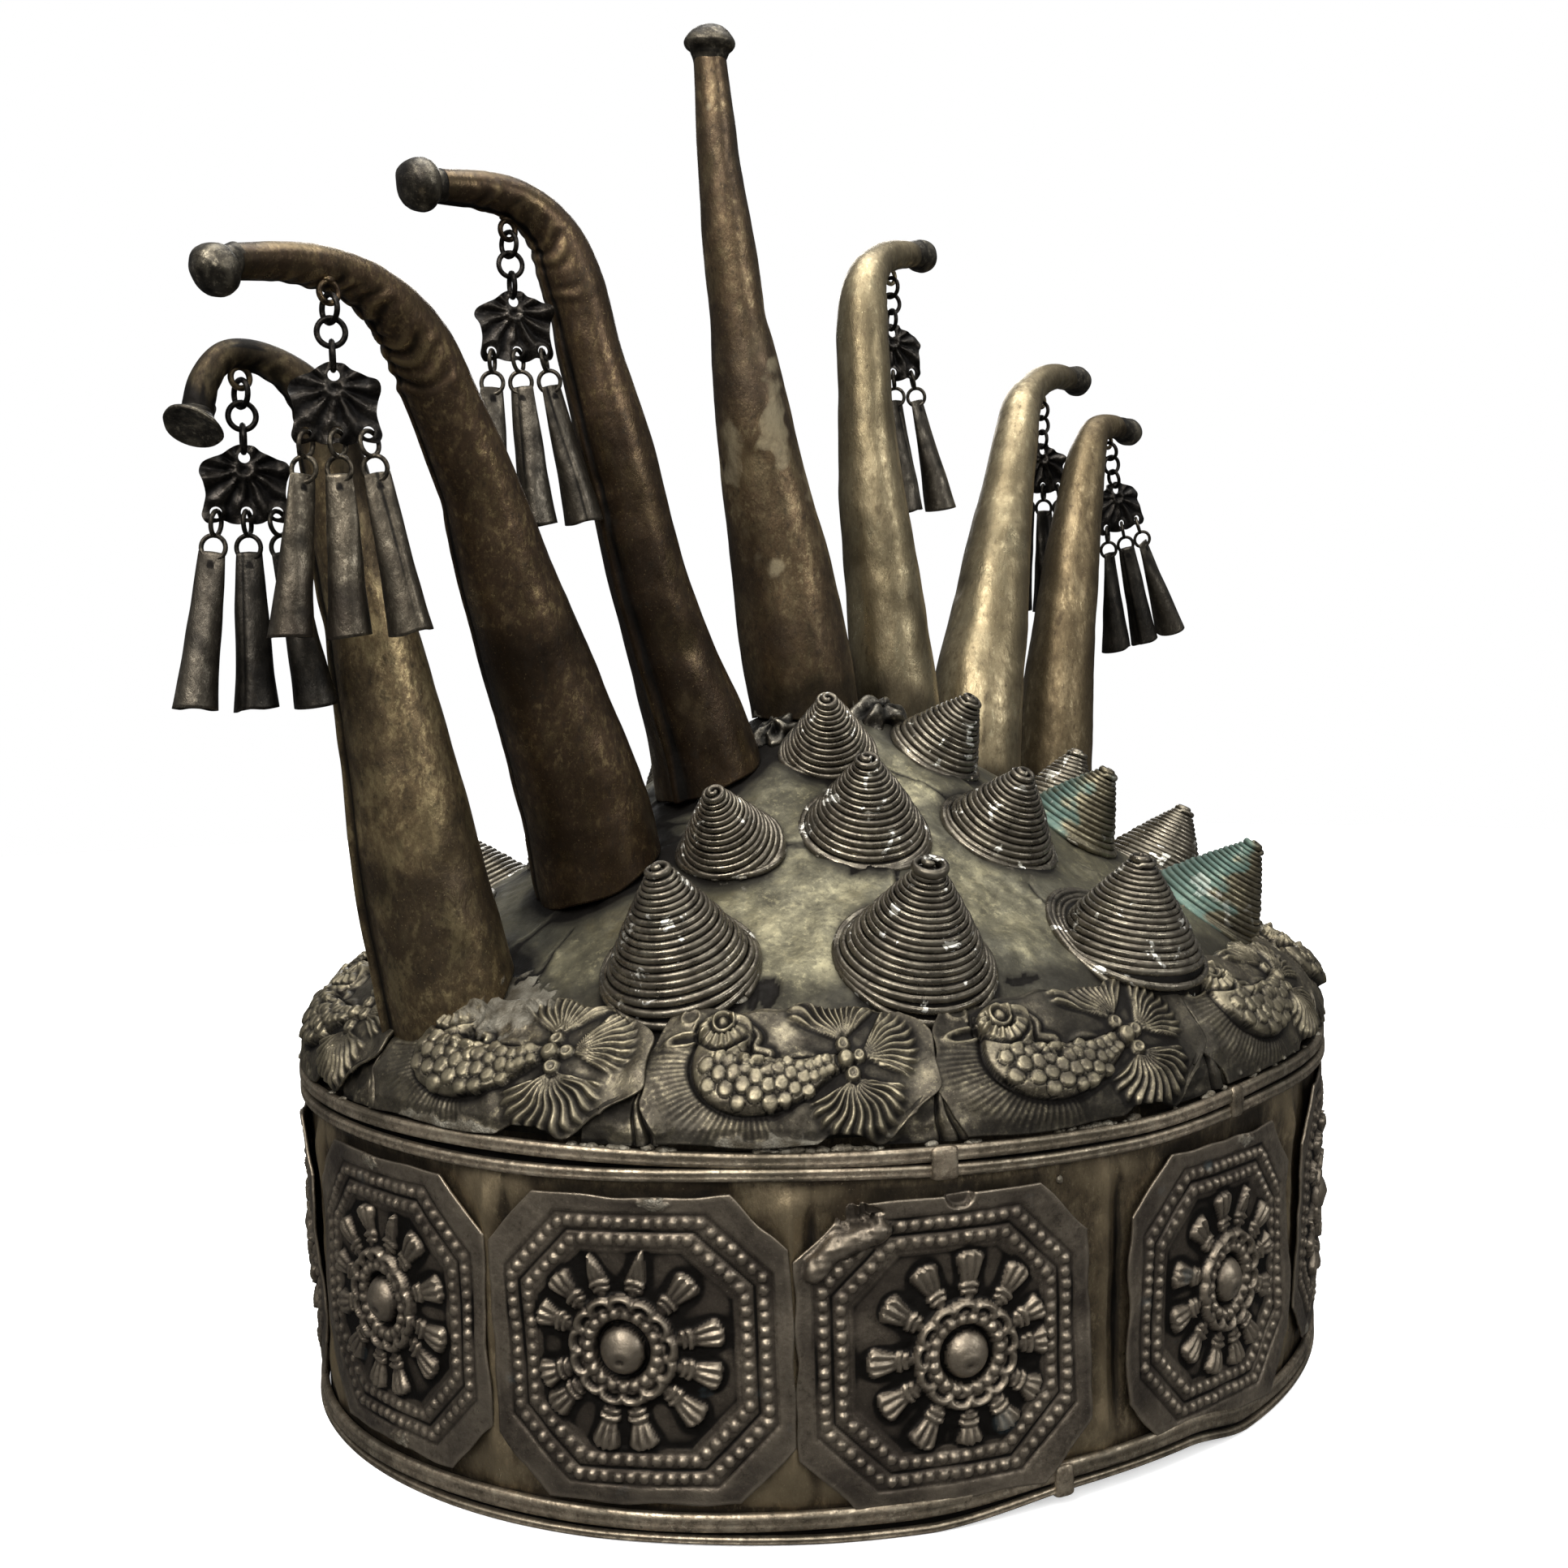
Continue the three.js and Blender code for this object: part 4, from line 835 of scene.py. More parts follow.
def plaque_relief(x, y, seed, ox=0.0, oy=0.0, phase=0.0, points=None):
    """Stamped relief: two octagons of beads and, at (ox, oy), the wheel of twelve buds."""
    rng = np.random.default_rng(seed)
    h = np.zeros_like(x)
    out = octagon_sdf(x, y, 20.0, 8.8)
    h -= 0.22 * np.exp(-((out / 0.3) ** 2))
    mid = octagon_sdf(x, y, 17.5, 8.1)
    h -= 0.34 * np.exp(-((mid / 0.26) ** 2))
    inner = octagon_sdf(x, y, 15.0, 7.3)
    h -= 0.18 * np.exp(-((inner / 0.3) ** 2))
    h -= 0.42 * smooth(inner, 0.3, -0.9)
    h -= 0.12 * smooth(out, 0.2, -0.2) * smooth(inner, -0.2, 0.2)
    beads = np.full_like(h, -9.0)
    for half, leg in ((18.8, 8.4), (16.2, 7.6)):
        pts = octagon_points(half, leg, 1.95)
        pts = pts + rng.normal(size=pts.shape) * 0.07
        r = rng.uniform(0.66, 0.78, len(pts))
        ht = rng.uniform(0.22, 0.5, len(pts))
        beads = bumps(beads, x, y, pts, r, ht)
    h = np.maximum(h, beads)
    x, y = x - ox, y - oy
    r = np.hypot(x, y)
    th = np.arctan2(y, x)
    # twelve radiating buds: collar, then a fluted head
    for i in range(12):
        a = math.radians(90 + phase + i * 30 + rng.normal() * 3.0)
        u = x * math.cos(a) + y * math.sin(a)
        v = -x * math.sin(a) + y * math.cos(a)
        near = (u > 5) & (u < 16) & (np.abs(v) < 3.2)
        pointed = rng.random() < 0.18
        if points is not None:
            pointed = any(abs((math.degrees(a) - q + 180) % 360 - 180) < 13 for q in points)
        Lh = 10.7
        L1 = 15.0 + rng.normal() * 0.15
        while L1 > 13.0 and octagon_sdf(ox + L1 * math.cos(a), oy + L1 * math.sin(a), 14.6, 7.0) > 0:
            L1 -= 0.1
        wide = (1.35 if pointed else 2.5) + rng.normal() * 0.08
        s = (u - Lh) / (L1 - Lh)
        sc = np.clip(s, 0, 1)
        if pointed:
            w = 1.5 * (1 - sc) ** 0.7 + 0.05
        else:
            w = (1.25 + (wide - 1.25) * sc ** 0.9) * np.clip(1 - np.clip((sc - 0.72) / 0.28, 0, 1) ** 2.2, 0.0, 1) ** 0.5 + 0.02
        e = np.abs(v) / w
        body = np.where((s > -0.12) & (s < 1) & (e < 1), np.clip(1 - e**3, 0, 1) ** 0.6, 0)
        flute = 0.5 + 0.5 * np.cos(TAU * v / np.maximum(w, 0.3) * 1.55)
        b = body * (0.62 + 0.42 * flute * smooth(s, 0.0, 0.25)) * (0.78 + 0.32 * smooth(s, 0.1, 0.7))
        stem = np.clip(1 - np.abs(v) / 1.15, 0, 1) ** 0.5 * smooth(u, 7.9, 8.4) * smooth(u, 11.2, 10.6)
        b = np.maximum(b, 0.5 * stem)
        for rc, hc, wc in ((10.4, 0.78, 1.6), (9.4, 0.62, 1.4)):
            uu = u + 0.16 * v * v
            arc = np.clip(1 - ((uu - rc) / 0.42) ** 2, 0, 1) ** 0.5 * smooth(np.abs(v), wc, wc - 0.3)
            b = np.maximum(b, hc * arc)
        h = np.where(near & (b > 0.02), np.maximum(h, h * 0 - 0.42 + b * 1.2), h)
    # scalloped ring, each petal an arch with a hollow in it
    petals = 13
    ph = rng.uniform(0, TAU)
    pa = ((th + ph) * petals / TAU) % 1.0 - 0.5
    rs = 7.75 - 1.5 * np.abs(pa) ** 2 * 4 * 0.55
    ridge = np.clip(1 - ((r - rs) / 0.52) ** 2, 0, 1) ** 0.5
    cell = np.clip(1 - ((r - rs + 0.9) / 0.55) ** 2, 0, 1) ** 0.5 * smooth(np.abs(pa), 0.42, 0.25)
    plate_ = smooth(r, 8.5, 7.7)
    h = np.maximum(h, -0.42 + 0.95 * plate_)
    h = np.where(r < 8.9, h + 0.42 * ridge - 0.5 * cell - 0.3 * np.exp(-((np.abs(pa) - 0.5) / 0.06) ** 2) * smooth(r, 6.4, 7.0) * smooth(r, 8.4, 8.0), h)
    h = np.where(r < 6.2, np.minimum(h, 0.15 + 0.2 * smooth(r, 5.9, 6.2)), h)
    nb = 19
    aa = TAU * np.arange(nb) / nb + ph
    ring = np.stack([5.25 * np.cos(aa), 5.25 * np.sin(aa) * 1.03], 1)
    h = bumps(h, x, y, ring, 0.78, rng.uniform(0.62, 0.82, nb))
    e = np.hypot(x / 3.4, y / 3.6)
    h = np.where(e < 1.32, np.minimum(h, 0.2 - 1.5 * smooth(e, 1.3, 1.1)), h)
    dome = -1.2 + 2.9 * np.sqrt(np.clip(1 - (e / 1.06) ** 2, 0, 1))
    dome = dome - 0.5 * np.exp(-(np.hypot(x / 0.8, (y + 1.3) / 0.6) ** 2)) + 0.12 * np.exp(-(((np.hypot(x / 1.5, (y + 1.1) / 1.3) - 1) / 0.3) ** 2))
    h = np.where(e < 1.06, np.maximum(h, dome), h)
    return h


def sheet(name, X, H, place, mat, keep_cell=None, thick=0.5, flange=1.4, attrs=None, **kw):
    """A stamped sheet: a grid of local points X (n, m, 2) with heights H, put into space by place(x, y, h).

    keep_cell(i, j) gives 1 for a whole cell, 2..5 for one half. Its edge is turned back by its thickness."""
    n, m = H.shape
    P = place(X[..., 0], X[..., 1], H)
    idx = np.arange(n * m).reshape(n, m)
    a, b, c, d = idx[:-1, :-1], idx[:-1, 1:], idx[1:, 1:], idx[1:, :-1]
    if keep_cell is None:
        k = np.ones((n - 1, m - 1), int)
    else:
        k = keep_cell
    q = np.stack([a, d, c, b], -1)[k == 1]
    t = []
    for code, tri in ((2, (a, d, c)), (3, (a, c, b)), (4, (a, d, b)), (5, (d, c, b))):
        s = k == code
        if s.any():
            t.append(np.stack(tri, -1)[s])
    t = np.vstack(t) if t else np.zeros((0, 3), int)
    # boundary loop
    E = {}
    es = np.vstack([np.stack([q[:, i], q[:, (i + 1) % 4]], 1) for i in range(4)] + [np.stack([t[:, i], t[:, (i + 1) % 3]], 1) for i in range(3)])
    key = es[:, 0].astype(np.int64) * (n * m) + es[:, 1]
    rev = es[:, 1].astype(np.int64) * (n * m) + es[:, 0]
    bound = es[~np.isin(key, rev)]
    nxt = dict(zip(bound[:, 0].tolist(), bound[:, 1].tolist()))
    loops = []
    left = set(nxt)
    while left:
        s = left.pop()
        loop = [s]
        cur = nxt[s]
        while cur != s and cur in left:
            left.discard(cur)
            loop.append(cur)
            cur = nxt[cur]
        loops.append(loop)
    V = [P.reshape(-1, 3)]
    Q = [q]
    base = n * m
    x, y = X[..., 0].ravel(), X[..., 1].ravel()
    hh = H.ravel()
    at = {kk: [np.asarray(v, float).ravel()] for kk, v in (attrs or {}).items()}
    for loop in loops:
        L = len(loop)
        lx, ly, lh = x[loop], y[loop], hh[loop]
        cx, cy = lx.mean(), ly.mean()
        tx_ = np.roll(lx, -2) - np.roll(lx, 2)
        ty_ = np.roll(ly, -2) - np.roll(ly, 2)
        ll = np.maximum(np.hypot(tx_, ty_), 1e-6)
        inx, iny = -ty_ / ll, tx_ / ll
        r1 = place(lx - inx * 0.05, ly - iny * 0.05, lh - thick * 0.5)
        r2 = place(lx, ly, lh - thick)
        r3 = place(lx + inx * flange, ly + iny * flange, lh - thick)
        prev = np.array(loop)
        for r in (r1, r2, r3):
            cur = base + np.arange(L)
            V.append(r)
            Q.append(np.stack([prev, cur, np.roll(cur, -1), np.roll(prev, -1)], 1))
            base += L
            prev = cur
        # the turned edge: a painted highlight on its lip, going to painted shade on the turned-back underside
        for kk in at:
            val = np.asarray(attrs[kk], float).ravel()[loop]
            at[kk] += [np.clip(val + 0.15, 0, 1) if kk == "relief" else val, val * 0.5 if kk == "relief" else val, val * 0 + (0.1 if kk == "relief" else 0)]
    return build(name, np.vstack(V), np.vstack(Q), t, mat, {kk: np.concatenate(v) for kk, v in at.items()}, **kw)


# painted shade in the hollows and painted highlight on the crests, from the heights less their blur
def relief_paint(h, cell, soft=0.55):
    fine = h - blur(h, max(int(round(0.8 / cell)), 1))
    wide = h - blur(h, max(int(round(2.4 / cell)), 1))
    return 0.47 + 0.8 * fine / soft + 0.22 * wide / soft


# middle of each plaque, counted in twelfths of the oval, and its height; edges of the fish plaques likewise
PLAQUE_AT = [(0.0, 26.6), (1.03, 26.2), (2.0, 26.8), (3.02, 26.2), (3.98, 26.6), (4.98, 26.4), (5.97, 26.6), (6.91, 26.2), (7.84, 24.9), (8.93, 25.0), (9.98, 26.2), (11.0, 26.6)]
FISH_AT = [0.0, 1.0, 2.0, 3.0, 4.0, 4.98, 5.93, 6.93, 7.82, 8.87, 9.93, 10.95, 12.0]


# place of the wheel in the plaques that the photo shows, turn of its buds, and which of them are pointed
WHEELS = {6: (-0.6, 0.0, 15, (75,)), 7: (-1.9, 0.0, 15, (105, 75)), 8: (2.3, -1.1, -4, ()), 9: (1.6, -0.4, 14, (75,))}


def make_plaques():
    cell = 0.29
    N = 156
    g = (np.arange(N + 1) - N / 2) * cell
    half = g[-1]
    cut = int(round(8.0 / cell))
    I, J = np.meshgrid(np.arange(N), np.arange(N), indexing="ij")
    keep = np.ones((N, N), int)
    keep[I + J < cut - 1] = 0
    keep[I + J == cut - 1] = 5
    ir, jr = N - 1 - I, N - 1 - J
    keep[ir + jr < cut - 1] = 0
    keep[ir + jr == cut - 1] = 4
    keep[I + jr < cut - 1] = 0
    keep[I + jr == cut - 1] = 2
    keep[ir + J < cut - 1] = 0
    keep[ir + J == cut - 1] = 3
    x, y = np.meshgrid(g, g, indexing="ij")
    for k in range(12):
        rng = np.random.default_rng(500 + k)
        Q = np.stack([x, y], -1)
        ox, oy, phase, points = WHEELS.get(k, (0.9 * math.sin(k * 2.1), 0.6 * math.cos(k * 1.7), 7 * math.sin(k * 1.3), None))
        h = plaque_relief(x, y, 700 + (k % 5), ox, oy, phase, points)
        paint = relief_paint(h, cell)
        # the sheet is a little bent and dented; one edge or corner lifts off the band
        warp = 0.16 * waves(Q, 24, 800 + k) + 0.07 * waves(Q, 9, 820 + k) + 0.02 * waves(Q, 2.5, 840 + k)
        cx, cy = rng.choice([-1, 1]), rng.choice([-1, 1])
        lift = rng.uniform(0.3, 1.1) * smooth(x * cx + 0.5 * y * cy, 17, 27)
        if k == 8:
            lift = 1.2 * smooth(x - 0.35 * y, 18, 27) + 0.3 * smooth(-x, 20, 23)
        if k == 7:
            lift = 0.9 * smooth(x + 0.3 * y, 19, 27)
        edge = octagon_sdf(x, y, half, cut * cell)
        crust = np.zeros_like(x)
        if k == 8:  # the upper left corner is torn and rolled over
            e = np.minimum(seg_dist(x, y, (-19.6, 13.4), (-17.6, 16.6))[0], seg_dist(x, y, (-17.6, 16.6), (-10.6, 18.6))[0])
            e = e / (1.7 + 0.25 * waves(Q, 3.0, 861))
            roll = smooth(e, 1.15, 0.95)
            bead_ = np.sqrt(np.clip(1 - (e / 1.05) ** 2, 0, 1))
            h = h * (1 - roll) + roll * (0.1 + 1.9 * bead_ + 0.12 * waves(Q, 1.8, 863))
            # the roll is painted dark along its sides and light along its crest: painted shade and painted highlight
            paint = np.where(e < 1.3, 0.12 + 0.62 * bead_ + 0.06 * waves(Q, 1.4, 862), paint)
            crust = 0.35 * roll * smooth(waves(Q, 1.8, 865), 0.0, 1.0)
            # two notches, dented and painted near black: painted shade where the sheet is torn open
            notch = np.hypot((x + 14.6) / 4.0, (y - 21.3) / 1.5) + 0.18 * waves(Q, 1.6, 864)
            paint = np.where(notch < 1.0, 0, paint)
            h -= 1.5 * smooth(notch, 1.1, 0.85)
            notch = np.hypot((x - 1.5) / 2.3, (y - 22.9) / 2.2)
            paint = np.where(notch < 1, 0.02, paint)
            h -= 1.2 * smooth(notch, 1.1, 0.85)
        else:
            for _ in range(2):
                px, py = rng.uniform(-20, 20), rng.choice([-21.6, 21.6])
                e = np.hypot((x - px) / 2.6, (y - py) / 1.1) + 0.25 * waves(Q, 1.6, 870 + k)
                crust = np.maximum(crust, 0.75 * smooth(e, 1.2, 0.5))
            h = h + 0.4 * crust
        rub = 0.10 * waves(Q, 13, 880 + k)
        paint = paint + 0.2 * smooth(edge, -0.9, -0.2) + rub + 0.08 * smooth(octagon_sdf(x, y, 20.0, 8.8), -0.3, 0.3)
        paint = paint + 0.07 * smooth(octagon_sdf(x, y, 20.0, 8.8), -0.2, 0.4)
        # painted shade on the sunk field inside the inner octagon where it is low
        recess = smooth(octagon_sdf(x, y, 15.0, 7.3), 0.2, -0.8) * smooth(h, 0.1, -0.3)
        paint = paint - 0.24 * recess
        stain = 0.42 * smooth(waves(Q, 8, 890 + k), 1.0, 1.7)
        if k == 8:
            stain = np.maximum(stain, 0.5 * smooth(np.hypot(x - 8.5, y + 12), 4, 1))
        wob = 0.22 * smooth(edge, -3, 0)
        wx = x + wob * waves(Q, 11, 900 + k)
        wy = y + wob * waves(Q, 11, 920 + k)
        turn = math.radians(rng.normal() * 0.7)
        H = h + warp + lift

        def place(px, py, ph, k=k, turn=turn):
            qx = px * math.cos(turn) - py * math.sin(turn)
            qy = px * math.sin(turn) + py * math.cos(turn)
            ux, uy, tx, ty, nx, ny = oval_at(PLAQUE_AT[k][0] / 12 + qx / 590.0)
            z = PLAQUE_AT[k][1] + qy
            a = band_out(z)
            o = 1.45 + ph
            return np.stack([ux * a + nx * o, uy * a + ny * o, z], -1)

        sheet(f"plaque_{k + 1:02d}", np.stack([wx, wy], -1), H, place, M["plaque"], keep,
              attrs={"relief": np.clip(paint, 0, 1), "crust": crust, "stain": stain},
              slot="plaque_sheet", stands_for=["plaque_belt_front" if k >= 6 else "plaque_belt_back"])


# ------------------------------------------------------------------ fish plaques
def fan(x, y, cx, cy, a0, a1, r0, r1, ribs, ragged, rng):
    """Spread fluted fin: heights and a mask."""
    dx, dy = x - cx, y - cy
    r = np.hypot(dx, dy)
    mid = (a0 + a1) / 2
    th = np.degrees(np.arctan2(dy, dx))
    th = (th - mid + 180) % 360 - 180
    span = (a1 - a0) / 2
    u = th / span
    bend = u + 0.05 * np.sin(r * 0.9)
    rib = (bend + 1) / 2 * ribs
    lim = r1 * (1 - 0.14 * np.abs(u) ** 2) + ragged * np.sin(TAU * rib + 1.0) * 0.35
    m = smooth(np.abs(u), 1.04, 0.96) * smooth(r, lim + 0.4, lim - 1.6) * smooth(r, r0 * 0.7, r0 * 1.6)
    ridge = (0.5 + 0.5 * np.cos(TAU * rib)) ** 0.8
    depth = smooth(r, r0, r0 + 3)
    return m * (0.16 + 0.5 * ridge * (0.45 + 0.55 * depth)), m


def fish_relief(x, y, seed):
    rng = np.random.default_rng(seed)
    h = np.zeros_like(x)
    Q = np.stack([x, y], -1)
    # hatching round the belly
    bx, by = 18.0, 12.5
    th = np.degrees(np.arctan2((y - by) * 1.25, x - bx)) % 360
    rr = np.hypot((x - bx) / 10.6, (y - by) / 7.6)
    mask = smooth(rr, 1.0, 1.1) * smooth(rr, 1.8, 1.35) * smooth(th, 158, 172) * smooth(th, 292, 276)
    h += mask * 0.14 * (0.5 + 0.5 * np.cos(th * 1.42 + 0.3 * np.sin(rr * 7)))
    h += 0.1 * mask
    # fins
    for args in ((32.9, 16.1, 44, 155, 0.8, 13.2, 10, 1.0), (35.9, 13.8, -24, 60, 0.8, 10.2, 9, 1.0), (34.6, 10.1, -150, -8, 0.8, 9.7, 11, 1.0)):
        f, m = fan(x, y, *args, rng)
        h = np.maximum(h, f * 1.2 + 0.12 * m)
    # body: a chain of tapering rounds
    spine = np.array([(12.6, 15.6, 4.2), (11.9, 12.6, 4.1), (14.0, 10.0, 4.5), (17.6, 8.9, 4.5), (21.5, 9.1, 4.1), (25.3, 10.1, 3.2), (28.6, 11.4, 2.2), (31.6, 12.6, 1.4)])
    sp, _ = catmull(np.c_[spine[:, :2], np.zeros(len(spine)), spine[:, 2]], 60)
    best = np.full_like(x, -9.0)
    ins = np.full_like(x, 9.0)
    for px, py, _, pr in sp:
        d = np.hypot(x - px, y - py) / pr
        ins = np.minimum(ins, d)
        best = np.maximum(best, np.where(d < 1, pr / 4.4 * np.sqrt(np.clip(1 - d * d, 0, 1)), -9))
    body = np.where(best > -1, 0.35 + 1.75 * best, -9)
    h = np.maximum(h - 0.22 * smooth(ins, 1.22, 1.04), body)
    # pearl scales in rows along the spine
    sc, rad, hh = [], [], []
    T = np.gradient(sp[:, :2], axis=0)
    T = unit(T)
    Nn = np.stack([-T[:, 1], T[:, 0]], 1)
    L = np.r_[0, np.cumsum(np.linalg.norm(np.diff(sp[:, :2], axis=0), axis=1))]
    s = 3.6
    row = 0
    while s < L[-1] - 0.6:
        px, py = np.interp(s, L, sp[:, 0]), np.interp(s, L, sp[:, 1])
        pr = np.interp(s, L, sp[:, 3])
        nx_, ny_ = np.interp(s, L, Nn[:, 0]), np.interp(s, L, Nn[:, 1])
        size = 1.22 * (0.5 + 0.5 * pr / 4.4)
        cnt = 4 if pr > 3.9 else 3 if pr > 2.6 else 2 if pr > 1.7 else 1
        offs = (np.arange(cnt) - (cnt - 1) / 2 + (0.25 if row % 2 else -0.25) * (cnt > 2)) * size * 1.95
        for o in offs:
            if abs(o) > pr * 0.93:
                continue
            sc.append((px + nx_ * o + rng.normal() * 0.08, py + ny_ * o + rng.normal() * 0.08))
            rad.append(size * rng.uniform(0.95, 1.08))
            base = 0.35 + 1.75 * pr / 4.4 * math.sqrt(max(1 - (o / pr) ** 2, 0))
            hh.append(base)
        s += size * 1.62
        row += 1
    for (cx, cy), r_, b_ in zip(sc, rad, hh):
        d = np.hypot(x - cx, y - cy) / r_
        dome = np.clip(1 - d**3, 0, 1) ** 0.5
        h = np.where(d < 1.12, np.maximum(h * 1.0 - 0.28 * np.exp(-(((d - 1.02) / 0.12) ** 2)), np.where(d < 1, b_ - 0.06 + 0.4 * dome, -9)), h)
    # head: a low round with a ringed eye, a fringed lid under it, and a gill line
    hx, hy = 12.6, 17.3
    d = np.hypot((x - hx) / 4.6, (y - hy) / 3.9)
    h = np.maximum(h, np.where(d < 1, 0.7 + 1.05 * np.sqrt(np.clip(1 - d * d, 0, 1)), -9))
    ex, ey = 12.0, 18.6
    d = np.hypot(x - ex, y - ey)
    th = np.arctan2(y - ey, x - ex)
    h = np.where(d < 2.5, np.minimum(h, 1.35), h)
    h = np.where(d < 2.6, h + 0.55 * np.exp(-(((d - 1.75) / 0.34) ** 2)) - 0.3 * np.exp(-(((d - 1.15) / 0.25) ** 2)) + 0.5 * np.sqrt(np.clip(1 - (d / 0.95) ** 2, 0, 1)), h)
    under = smooth(np.sin(th + 0.3), 0.1, -0.3)
    lid = smooth(d, 2.2, 2.7) * smooth(d, 4.7, 4.3) * under
    h += lid * (0.22 + 0.24 * np.cos(th * 17))
    h -= 0.5 * np.exp(-(((d - 2.25) / 0.25) ** 2)) * under
    h -= 0.55 * np.exp(-(((d + 0.18 * np.sin(th * 5) - 4.75) / 0.3) ** 2)) * under
    h += 0.32 * np.exp(-(((d + 0.18 * np.sin(th * 5) - 5.35) / 0.34) ** 2)) * under * smooth(th, -2.2, -1.6)
    # open lips in front of the head
    e = np.hypot((x - 5.6) / 3.2, (y - 16.4 - 0.12 * (x - 5.6)) / 1.05)
    h = np.where(e < 1.6, h + 0.5 * np.exp(-(((e - 1.0) / 0.22) ** 2)) - 0.35 * smooth(e, 0.8, 0.4), h)
    # a wavy ribbon beside the head, and soft cloud shapes along the upper edge
    rib = np.array([(13.6, 19.6, 0), (16.4, 19.2, 0), (18.3, 17.2, 0), (17.9, 15.4, 0), (20.6, 14.5, 0), (20.0, 12.7, 0), (16.6, 12.4, 0)])
    rb, _ = catmull(np.c_[rib, np.ones(len(rib))], 40)
    d = np.full_like(x, 99.0)
    for qx, qy, _, _ in rb:
        d = np.minimum(d, np.hypot(x - qx, y - qy))
    h += 0.6 * np.exp(-((d / 0.62) ** 2)) - 0.25 * np.exp(-(((d - 1.15) / 0.4) ** 2))
    c = (y - 13.6 - 0.9 * np.sin(x * 0.55)) / 0.7
    h += 0.4 * np.exp(-(c * c)) * smooth(x, 20, 22) * smooth(x, 31, 29)
    # tail knot and its rings
    d = np.hypot(x - 33.2, y - 13.0)
    h = np.where(d < 1.4, np.maximum(h, 0.7 + 1.0 * np.sqrt(np.clip(1 - (d / 1.4) ** 2, 0, 1))), h)
    h = h + 0.16 * np.exp(-(((d - 0.75) / 0.18) ** 2)) - 0.3 * np.exp(-(((d - 1.6) / 0.26) ** 2))
    for cx, cy, r_ in ((32.9, 15.5, 0.74), (35.5, 13.6, 0.7), (34.4, 10.7, 0.78)):
        d = np.hypot(x - cx, y - cy)
        h = np.where(d < r_ + 0.5, np.maximum(h, 0.45 + 0.42 * np.exp(-(((d - r_) / 0.26) ** 2)) + 0.25 * np.exp(-((d / 0.36) ** 2))), h)
    # upper left swirls
    for cx, cy, r_ in ((5.4, 20.6, 1.6),):
        d = np.hypot(x - cx, (y - cy) * 1.2)
        h += 0.3 * np.exp(-(((d - r_) / 0.36) ** 2))
    return h


FISH_PROFILE = [(101.3, 57.0), (101.0, 59.6), (99.8, 62.9), (96.9, 66.6), (91.6, 70.6), (86.6, 73.4), (83.2, 75.3), (80.0, 77.0)]


